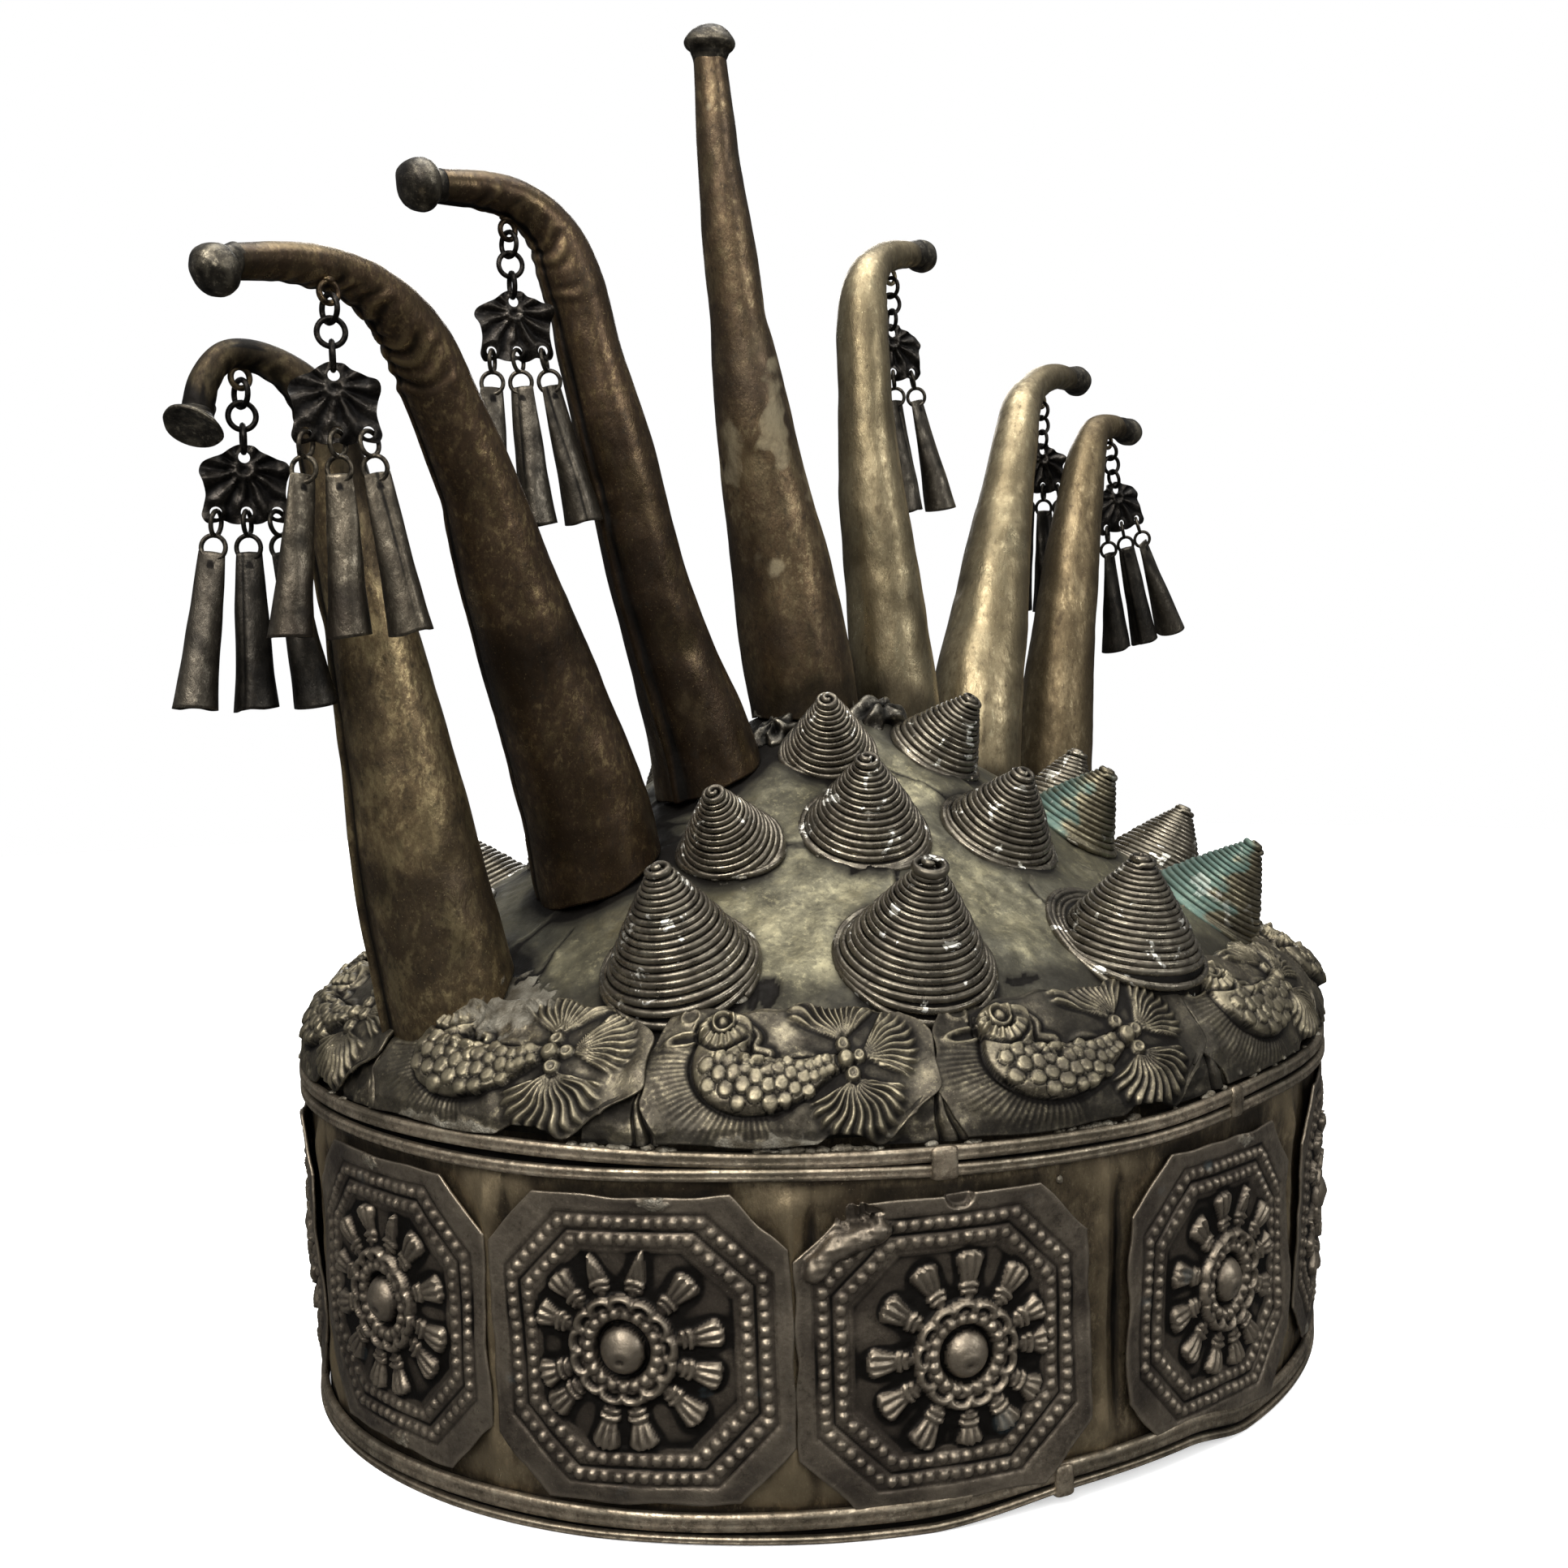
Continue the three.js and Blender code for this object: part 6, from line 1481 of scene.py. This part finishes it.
# ------------------------------------------------------------------ coiled cones
CONES = {
    "front_low_1": (-67.9, -32.1, -0.37, -0.15, 0.92, 17.1, 11.7),
    "front_low_2": (-41.3, -56.7, -0.19, -0.38, 0.9, 16.5, 12.0),
    "front_low_3": (-2.4, -69.6, -0.05, -0.25, 0.97, 15.5, 12.6),
    "front_low_4": (41.8, -58.3, 0.27, -0.51, 0.82, 15.0, 11.2),
    "front_low_5": (63.0, -32.8, 0.41, -0.29, 0.87, 15.0, 11.2),
    "front_mid_1": (-44.6, -19.7, -0.6, -0.33, 0.73, 13.6, 8.6),
    "front_mid_2": (-25.9, -33.2, -0.32, -0.42, 0.85, 14.4, 10.4),
    "front_mid_3": (-1.8, -43.1, -0.07, -0.56, 0.83, 12.6, 10.1),
    "front_mid_4": (26.8, -38.1, 0.25, -0.49, 0.84, 12.6, 9.2),
    "front_mid_5": (42.4, -23.3, 0.32, -0.22, 0.92, 13.3, 9.2),
    "front_top_1": (-16.9, -16.8, -0.48, -0.5, 0.72, 13.6, 8.2),
    "front_top_2": (5.8, -22.9, 0.09, -0.6, 0.79, 12.6, 8.6),
    "back_low_1": (-66.5, 34.0, -0.42, 0.24, 0.88, 16.4, 11.4),
    "back_low_2": (-38.9, 57.8, -0.24, 0.44, 0.86, 16.2, 11.8),
    "back_low_3": (1.6, 67.9, 0.02, 0.42, 0.91, 15.8, 12.2),
    "back_low_4": (41.0, 57.2, 0.26, 0.46, 0.85, 15.6, 11.4),
    "back_low_5": (64.6, 34.4, 0.42, 0.28, 0.87, 15.2, 11.2),
    "back_mid_1": (-44.0, 22.4, -0.46, 0.3, 0.84, 13.8, 9.0),
    "back_mid_2": (-23.4, 37.2, -0.22, 0.46, 0.86, 14.0, 9.8),
    "back_mid_3": (2.4, 42.6, 0.03, 0.5, 0.87, 13.4, 9.8),
    "back_mid_4": (26.4, 37.0, 0.26, 0.46, 0.85, 13.2, 9.4),
    "back_mid_5": (45.0, 23.6, 0.38, 0.28, 0.88, 13.0, 9.0),
}


def cone_radius(R, k):
    """Half width of the coil at a share k of its height: a spread foot, slightly full sides and a blunt top."""
    return R * ((1 - k) + 0.12 * k * (1 - k) + 0.04 * np.exp(-k / 0.04)) * 0.975 + 1.25 * k


def make_cone(name, row, seed):
    cx, cy, ax, ay, az, h, R = row
    rng = np.random.default_rng(seed)
    axis = unit([ax, ay, az])
    base = np.array([cx, cy, float(cap_z(cx, cy)) + 0.45])
    u = unit(np.cross(axis, [0.3, 1, 0.1]))
    v = np.cross(axis, u)
    slope = math.hypot(R, h)
    w0, w1 = 0.70, 0.44
    turns = slope * 0.97 / ((w0 + w1) * 1.04)
    per = 44
    n = int(turns * per)
    t = np.linspace(0, 1, n)
    # tapering wire: each turn climbs by about its own thickness along the slope
    prog = (t * (w0 + (w1 - w0) * t * 0.5)) / (w0 + (w1 - w0) * 0.5)
    hh = h * 0.93 * prog ** 1.02
    k = hh / h
    rad = cone_radius(R, k)
    wr = w0 + (w1 - w0) * prog
    ang = TAU * turns * t + rng.uniform(0, TAU)
    wob = 1 + 0.012 * np.sin(ang * 0.31 + seed) + 0.008 * np.sin(ang * 1.0 + seed * 2)
    tiltx, tilty = rng.normal(size=2) * 0.02
    lean = 0.35 * rng.normal(size=2)
    P = base + axis * hh[:, None] + (u * np.cos(ang)[:, None] + v * np.sin(ang)[:, None]) * (rad * wob)[:, None]
    P += (u * lean[0] + v * lean[1]) * (k**2)[:, None]
    P += axis * (0.10 * np.sin(ang + seed) * (1 - k))[:, None]
    # knob: a tight turn and a half, folded over
    kn = 60
    tk = np.linspace(0, 1, kn)
    ak = ang[-1] + TAU * 1.7 * tk
    big_knob = name.endswith("low_2")
    rk = rad[-1] * (1 - 0.85 * tk) * (1 + (0.8 if big_knob else 0.2) * np.sin(math.pi * tk))
    hk = hh[-1] + (0.3 + tk * 0.7) * (h - hh[-1] + (0.6 if big_knob else 0.3))
    top = base + (u * lean[0] + v * lean[1])
    K = top + axis * hk[:, None] + (u * np.cos(ak)[:, None] + v * np.sin(ak)[:, None]) * rk[:, None]
    P = np.vstack([P, K[1:]])
    W = np.r_[wr, np.full(kn - 1, w1) * (1 + (0.9 if big_knob else 0.5) * np.sin(math.pi * tk[1:]))]
    # start: the wire's end is bent in under the first turn
    floor = cap_z(P[:, 0], P[:, 1]) + 0.42
    P[:, 2] = np.maximum(P[:, 2], floor)
    # two more turns under the first, down to the cap on the low side
    ne = int(2.3 * per)
    te = np.linspace(0, 1, ne, endpoint=False)
    ae = ang[0] - TAU * 2.3 * (1 - te)
    re_ = rad[0] * (1 + 0.035 * (1 - te))
    E = base + (u * np.cos(ae)[:, None] + v * np.sin(ae)[:, None]) * re_[:, None] + axis * (0.10 * np.sin(ang[0] + seed))
    fe = cap_z(E[:, 0], E[:, 1]) + 0.42
    E[:, 2] = np.maximum(fe + (E[:, 2] - fe) * te, fe)
    P = np.vstack([E, P])
    W = np.r_[np.full(ne, wr[0]), W]
    out = unit(P - (base + axis * np.sum((P - base) * axis, 1, keepdims=True)) + 1e-9)
    V, q, tri = tube(P, W, 10, ups=out, squash=(0.8, 1.0))
    rel = np.full(len(V), 0.5)
    a9 = TAU * np.arange(10) / 10
    # lighter on the wire's outward face, darker on the face towards the lining and the turns beside: painted highlight
    # and painted shade
    rel[: len(P) * 10] = np.tile(0.46 + 0.3 * np.cos(a9), len(P))
    rel = rel + 0.07 * waves(V, 3.0, seed + 1)
    stain = np.zeros(len(V))
    st_on = name in ("front_low_4", "front_mid_4")
    if st_on:
        side = (V - base) @ unit(-CAM_R * 0.8 + CAM_U * 0.5)
        stain = smooth(side + 2.2 * waves(V, 4.5, seed + 3), -4, 5) * 0.95
        if name == "front_mid_4":
            stain *= 0.8
    parts = Parts()
    parts.add(V, q, tri, relief=np.clip(rel, 0, 1), crust=0.0, stain=stain)
    # a dark lining inside the coil, down to the cap: painted shade seen between the turns and under the first turn
    m = 48
    b = TAU * np.arange(m) / m
    ring = []
    levels = np.r_[np.linspace(0.0, 0.93, 12)]
    for f in levels:
        r = float(cone_radius(R, f)) - 0.4
        ring.append(base + axis * (h * f + 0.1) + (u * np.cos(b)[:, None] + v * np.sin(b)[:, None]) * max(r, 0.2))
    foot = ring[0].copy()
    low = foot.copy()
    low[:, 2] = np.minimum(foot[:, 2], cap_z(foot[:, 0], foot[:, 1]) - 0.1)
    low2 = foot * 0.5 + low * 0.5
    ring = [low, low2] + ring
    for r_ in ring[2:]:
        r_[:, 2] = np.maximum(r_[:, 2], cap_z(r_[:, 0], r_[:, 1]) + 0.15)
    ring = np.array(ring)
    V = np.vstack([ring.reshape(-1, 3), [base + axis * h * 0.96]])
    q = grid_quads(len(ring), m, False, True)
    i = np.arange(m)
    tri = np.stack([(len(ring) - 1) * m + i, np.full(m, len(ring) * m), (len(ring) - 1) * m + (i + 1) % m], 1)[:, ::-1]
    # the lining is painted dark and its three lowest rings black: painted shade
    under = np.full(len(V), 0.16)
    under[: 3 * m] = 0.0
    parts.add(V, q, tri, relief=under, crust=0.0, stain=0.0)
    # solder tacks at the foot
    for _ in range(3):
        t_ = rng.uniform(0, TAU)
        p = base + (u * math.cos(t_) + v * math.sin(t_)) * (R + 0.2)
        p[2] = float(cap_z(p[0], p[1])) + 0.25
        nr = cap_normal(p[0], p[1])
        uu = unit(np.cross(nr, [0.2, 1, 0.1]))
        lump(parts, p, uu, np.cross(nr, uu), nr, rng.uniform(0.7, 1.5), rng.uniform(0.6, 1.1), 0.5, int(seed + t_ * 100), 12, 6, 0.4, 0.55)
    parts.done("coil_" + name, M["patina"] if st_on else M["cone"], stands_for=["cone_" + name], slot="cone_wire_patina" if st_on else "cone_wire")


# ------------------------------------------------------------------ pendants
PENDANTS = {
    1: ((-117.5, 5.2, 164.9), 1, -25, (-9, 0, 9)),
    2: ((-113.1, -11.9, 175.0), 2, -30, (-8, 0, 9)),
    3: ((-68.9, 4.5, 193.8), 4, -25, (-4.5, 2.5, 10)),
    5: ((32.4, 9.2, 202.1), 2, -22, (-4, 4, 12)),
    6: ((89.6, 12.9, 182.9), 2, -18, (-8, 0, 9)),
    7: ((100.2, 1.6, 173.4), 17, -22, (-7, 1.5, 9)),
}
LINK_R, LINK_WIRE = 1.95, 0.42
PLATE_TOP, PLATE_LOW = -8.0, -19.6
PLATE_HOLE, BELL_HOLES = -9.9, -17.85
HOLE_R, HOLE_PITCH = 0.85, 4.3


def pendant_frame(p):
    at, tilt, turn, _ = p
    t, w = math.radians(tilt), math.radians(turn)
    down = np.array([math.sin(t), 0, -math.cos(t)])
    axis = np.array([math.cos(t), 0, math.sin(t)])
    across = axis * math.cos(w) + np.array([0, 1.0, 0]) * math.sin(w)
    return dict(at=np.array(at, float), down=down, axis=axis, across=across, face=np.cross(down, across))


def plate_outline(n=220):
    """A five-lobed shell: narrow curled top, wide waist, lower edge in scallops."""
    half = [(0, -8.0), (1.3, -8.25), (2.9, -9.3), (4.5, -10.0), (5.9, -10.7), (6.35, -12.0), (5.9, -13.6), (5.6, -15.2), (5.95, -16.9), (6.25, -18.3), (5.6, -19.3), (4.3, -19.25), (3.2, -18.95), (2.1, -19.4), (1.0, -19.55), (0, -19.25)]
    key = half + [(-a, b) for a, b in half[-2:0:-1]] + [half[0]]
    c, _ = catmull([(a, b, 0, 0) for a, b in key], n + 1)
    return c[:-1, :2]


def plate_mesh(seed):
    from mathutils.geometry import delaunay_2d_cdt

    rng = np.random.default_rng(seed)
    out = plate_outline()
    pts, edges = [], []

    def loop(P):
        s = len(pts)
        pts.extend([Vector((float(a), float(b))) for a, b in P])
        edges.extend([(s + i, s + (i + 1) % len(P)) for i in range(len(P))])

    loop(out)
    holes = [(0.0, PLATE_HOLE), (-HOLE_PITCH, BELL_HOLES), (0.0, BELL_HOLES), (HOLE_PITCH, BELL_HOLES)]
    b = TAU * np.arange(20) / 20
    for hx, hy in holes:
        loop(np.stack([hx + HOLE_R * np.cos(b), hy + HOLE_R * np.sin(b)], 1))
    g = 0.25
    gx, gy = np.meshgrid(np.arange(-6.6, 6.6, g), np.arange(-19.7, -7.9, g), indexing="ij")
    gx, gy = gx.ravel(), gy.ravel()
    # inside the outline, clear of every edge
    inside = np.zeros(len(gx), bool)
    x0, y0 = out[:, 0], out[:, 1]
    x1, y1 = np.roll(x0, -1), np.roll(y0, -1)
    for i in range(len(out)):
        c = (y0[i] > gy) != (y1[i] > gy)
        xx = x0[i] + (gy - y0[i]) * (x1[i] - x0[i]) / (y1[i] - y0[i] + 1e-12)
        inside ^= c & (gx < xx)
    near = np.min(np.hypot(gx[:, None] - x0[None], gy[:, None] - y0[None]), 1) < 0.16
    ok = inside & ~near
    for hx, hy in holes:
        ok &= np.hypot(gx - hx, gy - hy) > HOLE_R + 0.13
    pts.extend([Vector((float(a), float(c))) for a, c in zip(gx[ok], gy[ok])])
    verts, _, faces, *_ = delaunay_2d_cdt(pts, edges, [], 1, 1e-6)
    V = np.array([(v.x, v.y) for v in verts])
    F = np.array([f for f in faces if len(f) == 3])
    cen = V[F].mean(1)
    good = np.ones(len(F), bool)
    for hx, hy in holes:
        good &= np.hypot(cen[:, 0] - hx, cen[:, 1] - hy) > HOLE_R * 0.97
    F = F[good]
    area = np.cross(V[F[:, 1]] - V[F[:, 0]], V[F[:, 2]] - V[F[:, 0]])
    F[area < 0] = F[area < 0][:, ::-1]
    return V, F


def make_hanger(pid):
    p = PENDANTS[pid]
    F = pendant_frame(p)
    at, down, axis, across, face = (F[k] for k in ("at", "down", "axis", "across", "face"))
    up = -down
    parts = Parts()
    for h, nrm, e in ((-0.75, axis, 0.0), (-4.0, face, 0.15), (-7.25, across, 0.0)):
        V, q, _ = torus(at + up * h, nrm, LINK_R, LINK_WIRE, 36, 10, 1.0)
        parts.add(V, q, relief=np.clip(0.42 + 0.2 * waves(V, 1.0, 3000 + pid), 0, 1), crust=0.0)
    V2, T2 = plate_mesh(3100 + pid)
    x, y = V2[:, 0], V2[:, 1]
    # flutes fan out from a point under the top hole
    fx, fy = 0.0, -11.6
    th = np.arctan2(y - fy, x - fx)
    r = np.hypot(x - fx, y - fy)
    fl = np.cos(th * 11 + 0.25 * np.sin(r * 1.3 + pid))
    amp = 0.34 * smooth(r, 0.8, 3.0)
    h = amp * fl
    h += 0.5 * np.exp(-((r - 1.2) / 0.5) ** 2) - 0.25 * np.exp(-((r / 0.6) ** 2))
    rng = np.random.default_rng(3200 + pid)
    # edges and corners curl forwards and back
    curl = 0.045 * np.abs(x) ** 1.7 * np.sin(0.9 * x / 3 + y * 0.35 + pid) * 0.7
    curl += 0.9 * smooth(y, -17.6, -19.6) * np.sin(x * 0.9 + pid) * 0.6
    curl += 1.2 * smooth(np.hypot(x, y + 10.4), 4.5, 6.6) * smooth(y, -13, -11) * np.sign(x) * rng.choice([-1, 1])
    curl -= 0.012 * (y + 14) ** 2
    for hx, hy in ((0.0, PLATE_HOLE), (-HOLE_PITCH, BELL_HOLES), (0.0, BELL_HOLES), (HOLE_PITCH, BELL_HOLES)):
        flat = smooth(np.hypot(x - hx, y - hy), 1.9, 1.0)
        h *= 1 - flat
        curl *= 1 - 0.8 * flat
    H = h + curl + 0.08 * waves(np.stack([x, y], -1), 3, 3300 + pid)
    # lighter on the flute ridges and darker in the grooves and at the fan's centre, the other way round on the back:
    # painted highlight and painted shade
    rel = np.clip(0.45 + 0.9 * h - 0.1 * smooth(r, 3, 0), 0, 1)
    half = 0.26
    B = at + across * x[:, None] + up * y[:, None]
    nrm = face
    Pf, Pb = B + nrm * (H + half)[:, None], B + nrm * (H - half)[:, None]
    n = len(V2)
    es = np.vstack([T2[:, [0, 1]], T2[:, [1, 2]], T2[:, [2, 0]]])
    key, rev = es[:, 0] * n + es[:, 1], es[:, 1] * n + es[:, 0]
    bd = es[~np.isin(key, rev)]
    right = np.dot(np.cross(across, up), nrm) > 0
    tf, tb = (T2, T2[:, ::-1]) if right else (T2[:, ::-1], T2)
    side = np.stack([bd[:, 0], bd[:, 0] + n, bd[:, 1] + n, bd[:, 1]], 1)
    if not right:
        side = side[:, ::-1]
    parts.add(np.vstack([Pf, Pb]), side, np.vstack([tf, tb + n]), relief=np.r_[rel, np.clip(0.45 - 0.9 * h, 0, 1)], crust=0.0)
    parts.done(f"chain_and_shell_{pid}", M["shell"], body=f"hanger_{pid}", stands_for=[f"hanger_{pid}"], slot="pendant_metal", sharp=50)


def make_bell(pid, k):
    p = PENDANTS[pid]
    F = pendant_frame(p)
    at, down, across, face = F["at"], F["down"], F["across"], F["face"]
    s = math.radians(p[3][k])
    d = down * math.cos(s) + across * math.sin(s)
    hinge = across * math.cos(s) - down * math.sin(s)
    pivot = at + down * 19.05 + across * (k - 1) * HOLE_PITCH
    rng = np.random.default_rng(4000 + pid * 10 + k)
    parts = Parts()
    R = 1.78
    tw = math.radians(rng.uniform(22, 50))
    n1 = hinge * math.cos(tw) + face * math.sin(tw)
    n2 = hinge * math.cos(1.2) - face * math.sin(1.2)
    for c, nr in ((-1.42 + R, n1), (5.68 - R, n2)):
        V, q, _ = torus(pivot + d * c, nr, R, 0.36, 32, 9)
        parts.add(V, q, relief=np.clip(0.4 + 0.2 * waves(V, 0.9, 4100 + pid), 0, 1), crust=0.0)
    # bell: a rolled cone of sheet, pinched flat at the top, open below
    n, m = 46, 50
    t = np.linspace(0, 1, n)
    a = TAU * np.arange(m) / m
    Tt, A = np.meshgrid(t, a, indexing="ij")
    r = 1.02 + (3.25 - 1.02) * Tt
    flat = np.clip(1 - Tt / 0.8, 0, 1) ** 1.6
    wide = r * (1 + 0.75 * flat)
    thin = r * (1 - 0.66 * flat)
    sa = rng.uniform(-0.5, 0.5) + (math.pi / 2 if rng.random() < 0.6 else -math.pi / 2)
    da = (A - sa + math.pi) % TAU - math.pi
    arc = da * r
    lap = 0.26 * smooth(arc, 0.12, -0.14) * smooth(arc, -2.6, -0.4)
    spin = rng.uniform(-0.5, 0.5)
    slim = 0.42 if (pid, k) == (5, 0) else 0.0  # pressed flat and bent a little: it swings close past its horn
    if slim:
        spin = 0.0
    e1 = hinge * math.cos(spin) + face * math.sin(spin)
    e2 = np.cross(d, e1)
    x = wide * np.cos(A) * (1 - slim * smooth(Tt, 0.1, 0.7)) + 1.6 * slim * Tt
    y = thin * np.sin(A) * (1 + 0.2 * slim * smooth(Tt, 0.1, 0.7))
    ln = 1 + lap / r
    top = 5.48 - 0.9
    L = 22.9 - 0.35 * np.sin(A + 1 + k) * (Tt**3) - 0.35 * smooth(np.abs(da), 0.9, 0.1) * Tt**4
    dent = 0.05 * waves(np.stack([np.cos(A) * 3, np.sin(A) * 3, Tt * 22], -1), 7, 4200 + pid * 10 + k) * smooth(Tt, 0.05, 0.4)
    P = pivot + d * (top + L * Tt)[..., None] + e1 * (x * ln + dent * np.cos(A))[..., None] + e2 * (y * ln + dent * np.sin(A))[..., None]
    inner_r = 0.42
    Pin = pivot + d * (top + 0.25 + (L - 0.25) * Tt)[..., None] + e1 * ((x * ln + dent * np.cos(A)) * (1 - inner_r / np.maximum(wide, 1)))[..., None] + e2 * ((y * ln + dent * np.sin(A)) * (1 - inner_r / np.maximum(thin, 0.7)))[..., None]
    V = np.concatenate([P, Pin[::-1]], 0)
    # darker along the lap's joint, with a painted highlight along its raised edge and on the mouth's rim
    rel = 0.48 - 0.4 * np.exp(-(((arc - 0.16) / 0.16) ** 2)) + 0.22 * np.exp(-(((arc + 0.2) / 0.2) ** 2)) + 0.2 * smooth(Tt, 0.975, 1.0) + 0.13 * waves(P, 5, 4300 + pid * 10 + k)
    # the punched hole near the top is painted as a dark eye: painted shade where the opening would be
    for sgn in (1, -1):
        ex, ez = wide * np.cos(A), (Tt - 0.085) * 22.9
        e = np.hypot(ex, ez) + 9 * (np.sin(A) * sgn < 0)
        rel -= 0.9 * smooth(e, 0.62, 0.42)
    # painted shade inside the bell, darkening towards the top
    relf = np.concatenate([np.clip(rel, 0, 1), np.broadcast_to(np.linspace(0.22, 0.04, n)[:, None], (n, m))], 0)
    N = 2 * n
    base = V.reshape(-1, 3)
    q = grid_quads(N, m, False, True)
    ci = N * m
    mouth_top = P[0].mean(0) - d * 0.15
    mouth_in = Pin[0].mean(0) + d * 0.1
    base = np.vstack([base, [mouth_top], [mouth_in]])
    i = np.arange(m)
    j = (i + 1) % m
    tri = np.vstack([np.stack([np.full(m, ci), j, i], 1), np.stack([np.full(m, ci + 1), (N - 1) * m + i, (N - 1) * m + j], 1)])
    parts.add(base, q[:, ::-1], tri[:, ::-1], relief=np.r_[relf.ravel(), 0.4, 0.05], crust=0.0)
    letter = "abc"[k]
    tone = "pendant_pale" if pid == 2 else "pendant" if (pid, k) == (1, 0) else "pendant_dark" if pid in (1, 6) or (pid == 7 and k < 2) else "pendant"
    parts.done(f"jingle_{pid}_{letter}", M[tone], body=f"bell_{pid}_{letter}", stands_for=[f"bell_{pid}_{letter}"], slot="pendant_metal")


# ------------------------------------------------------------------ set
def make_stage():
    me = bpy.data.meshes.new("floor")
    z = -0.00235
    n = 96
    a = TAU * np.arange(n) / n
    me.from_pydata([(1.15 * math.cos(t), 1.15 * math.sin(t), z) for t in a], [], [tuple(range(n))])
    ob = bpy.data.objects.new("floor", me)
    bpy.context.scene.collection.objects.link(ob)
    m = bpy.data.materials.new("floor_white")
    m.use_nodes = True
    b = m.node_tree.nodes["Principled BSDF"]
    b.inputs["Base Color"].default_value = (0.86, 0.86, 0.86, 1)
    b.inputs["Roughness"].default_value = 0.9
    b.inputs["Specular IOR Level"].default_value = 0.1
    b.inputs["Emission Color"].default_value = (1, 1, 1, 1)
    b.inputs["Emission Strength"].default_value = 0.45
    me.materials.append(m)
    ob.visible_glossy = False


def area(name, at, to, size, power, color=(1, 1, 1)):
    d = bpy.data.lights.new(name, "AREA")
    d.shape = "RECTANGLE"
    d.size, d.size_y = size
    d.energy = power
    d.color = color
    o = bpy.data.objects.new(name, d)
    o.location = Vector(at)
    o.rotation_euler = (Vector(to) - Vector(at)).to_track_quat("-Z", "Y").to_euler()
    bpy.context.scene.collection.objects.link(o)


def make_lights():
    w = bpy.data.worlds.new("studio")
    bpy.context.scene.world = w
    w.use_nodes = True
    nt = w.node_tree
    nt.nodes.clear()
    N = Nodes(nt)
    co = N.add("ShaderNodeTexCoord").outputs["Generated"]
    sep = N.add("ShaderNodeSeparateXYZ")
    N.link(co, sep.inputs[0])
    soft = N.add("ShaderNodeBackground")
    soft.inputs["Color"].default_value = (0.97, 0.985, 1, 1)
    along = N.add("ShaderNodeVectorMath", operation="DOT_PRODUCT")
    N.link(co, along.inputs[0])
    along.inputs[1].default_value = (0.72, 0.69, 0.0)
    far = N.span(along.outputs["Value"], 0.05, 0.9, 1.0, 0.25)
    up = N.math("ADD", N.span(sep.outputs[2], -0.05, 0.25, 0.12, 0.34), N.span(sep.outputs[2], 0.3, 0.9, 0.0, 0.42))
    N.link(N.math("MULTIPLY", up, far), soft.inputs["Strength"])
    white = N.add("ShaderNodeBackground")
    white.inputs["Color"].default_value = (1, 1, 1, 1)
    white.inputs["Strength"].default_value = 1.0
    seen = N.add("ShaderNodeLightPath")
    mix = N.add("ShaderNodeMixShader")
    N.link(seen.outputs["Is Camera Ray"], mix.inputs[0])
    N.link(soft.outputs[0], mix.inputs[1])
    N.link(white.outputs[0], mix.inputs[2])
    out = N.add("ShaderNodeOutputWorld")
    N.link(mix.outputs[0], out.inputs["Surface"])
    c = (0, 0, 0.09)
    area("key", (-1.0, -0.25, 0.95), c, (0.55, 0.55), 18.0, (1.0, 0.97, 0.93))
    area("top", (0.05, -0.1, 1.25), c, (1.1, 1.1), 20.0, (1.0, 0.99, 0.97))
    area("front", (-1.0, -0.95, 0.78), c, (0.9, 0.6), 11.0, (1.0, 0.985, 0.96))
    area("side", (0.25, -1.25, 0.6), c, (0.4, 0.5), 6.0, (0.98, 0.99, 1.0))
    area("rear", (0.9, 1.0, 0.8), c, (0.6, 0.6), 7.0, (1.0, 0.99, 0.97))


bpy.context.scene.view_settings.view_transform = "Standard"
add_camera()
make_stage()
make_lights()
make_cap()
make_band()
make_rings()
make_plaques()
make_fish()
for _h in HORNS:
    make_horn(_h)
crumple("foot_scrap_4", 957, 905, 3.6, 5001, M["scrap"])
crumple("foot_scrap_5", 1083, 886, 4.4, 5002, M["scrap"])
for _i, (_name, _row) in enumerate(CONES.items()):
    make_cone(_name, _row, 6000 + 11 * _i)
for _p in PENDANTS:
    make_hanger(_p)
    for _k in range(3):
        make_bell(_p, _k)
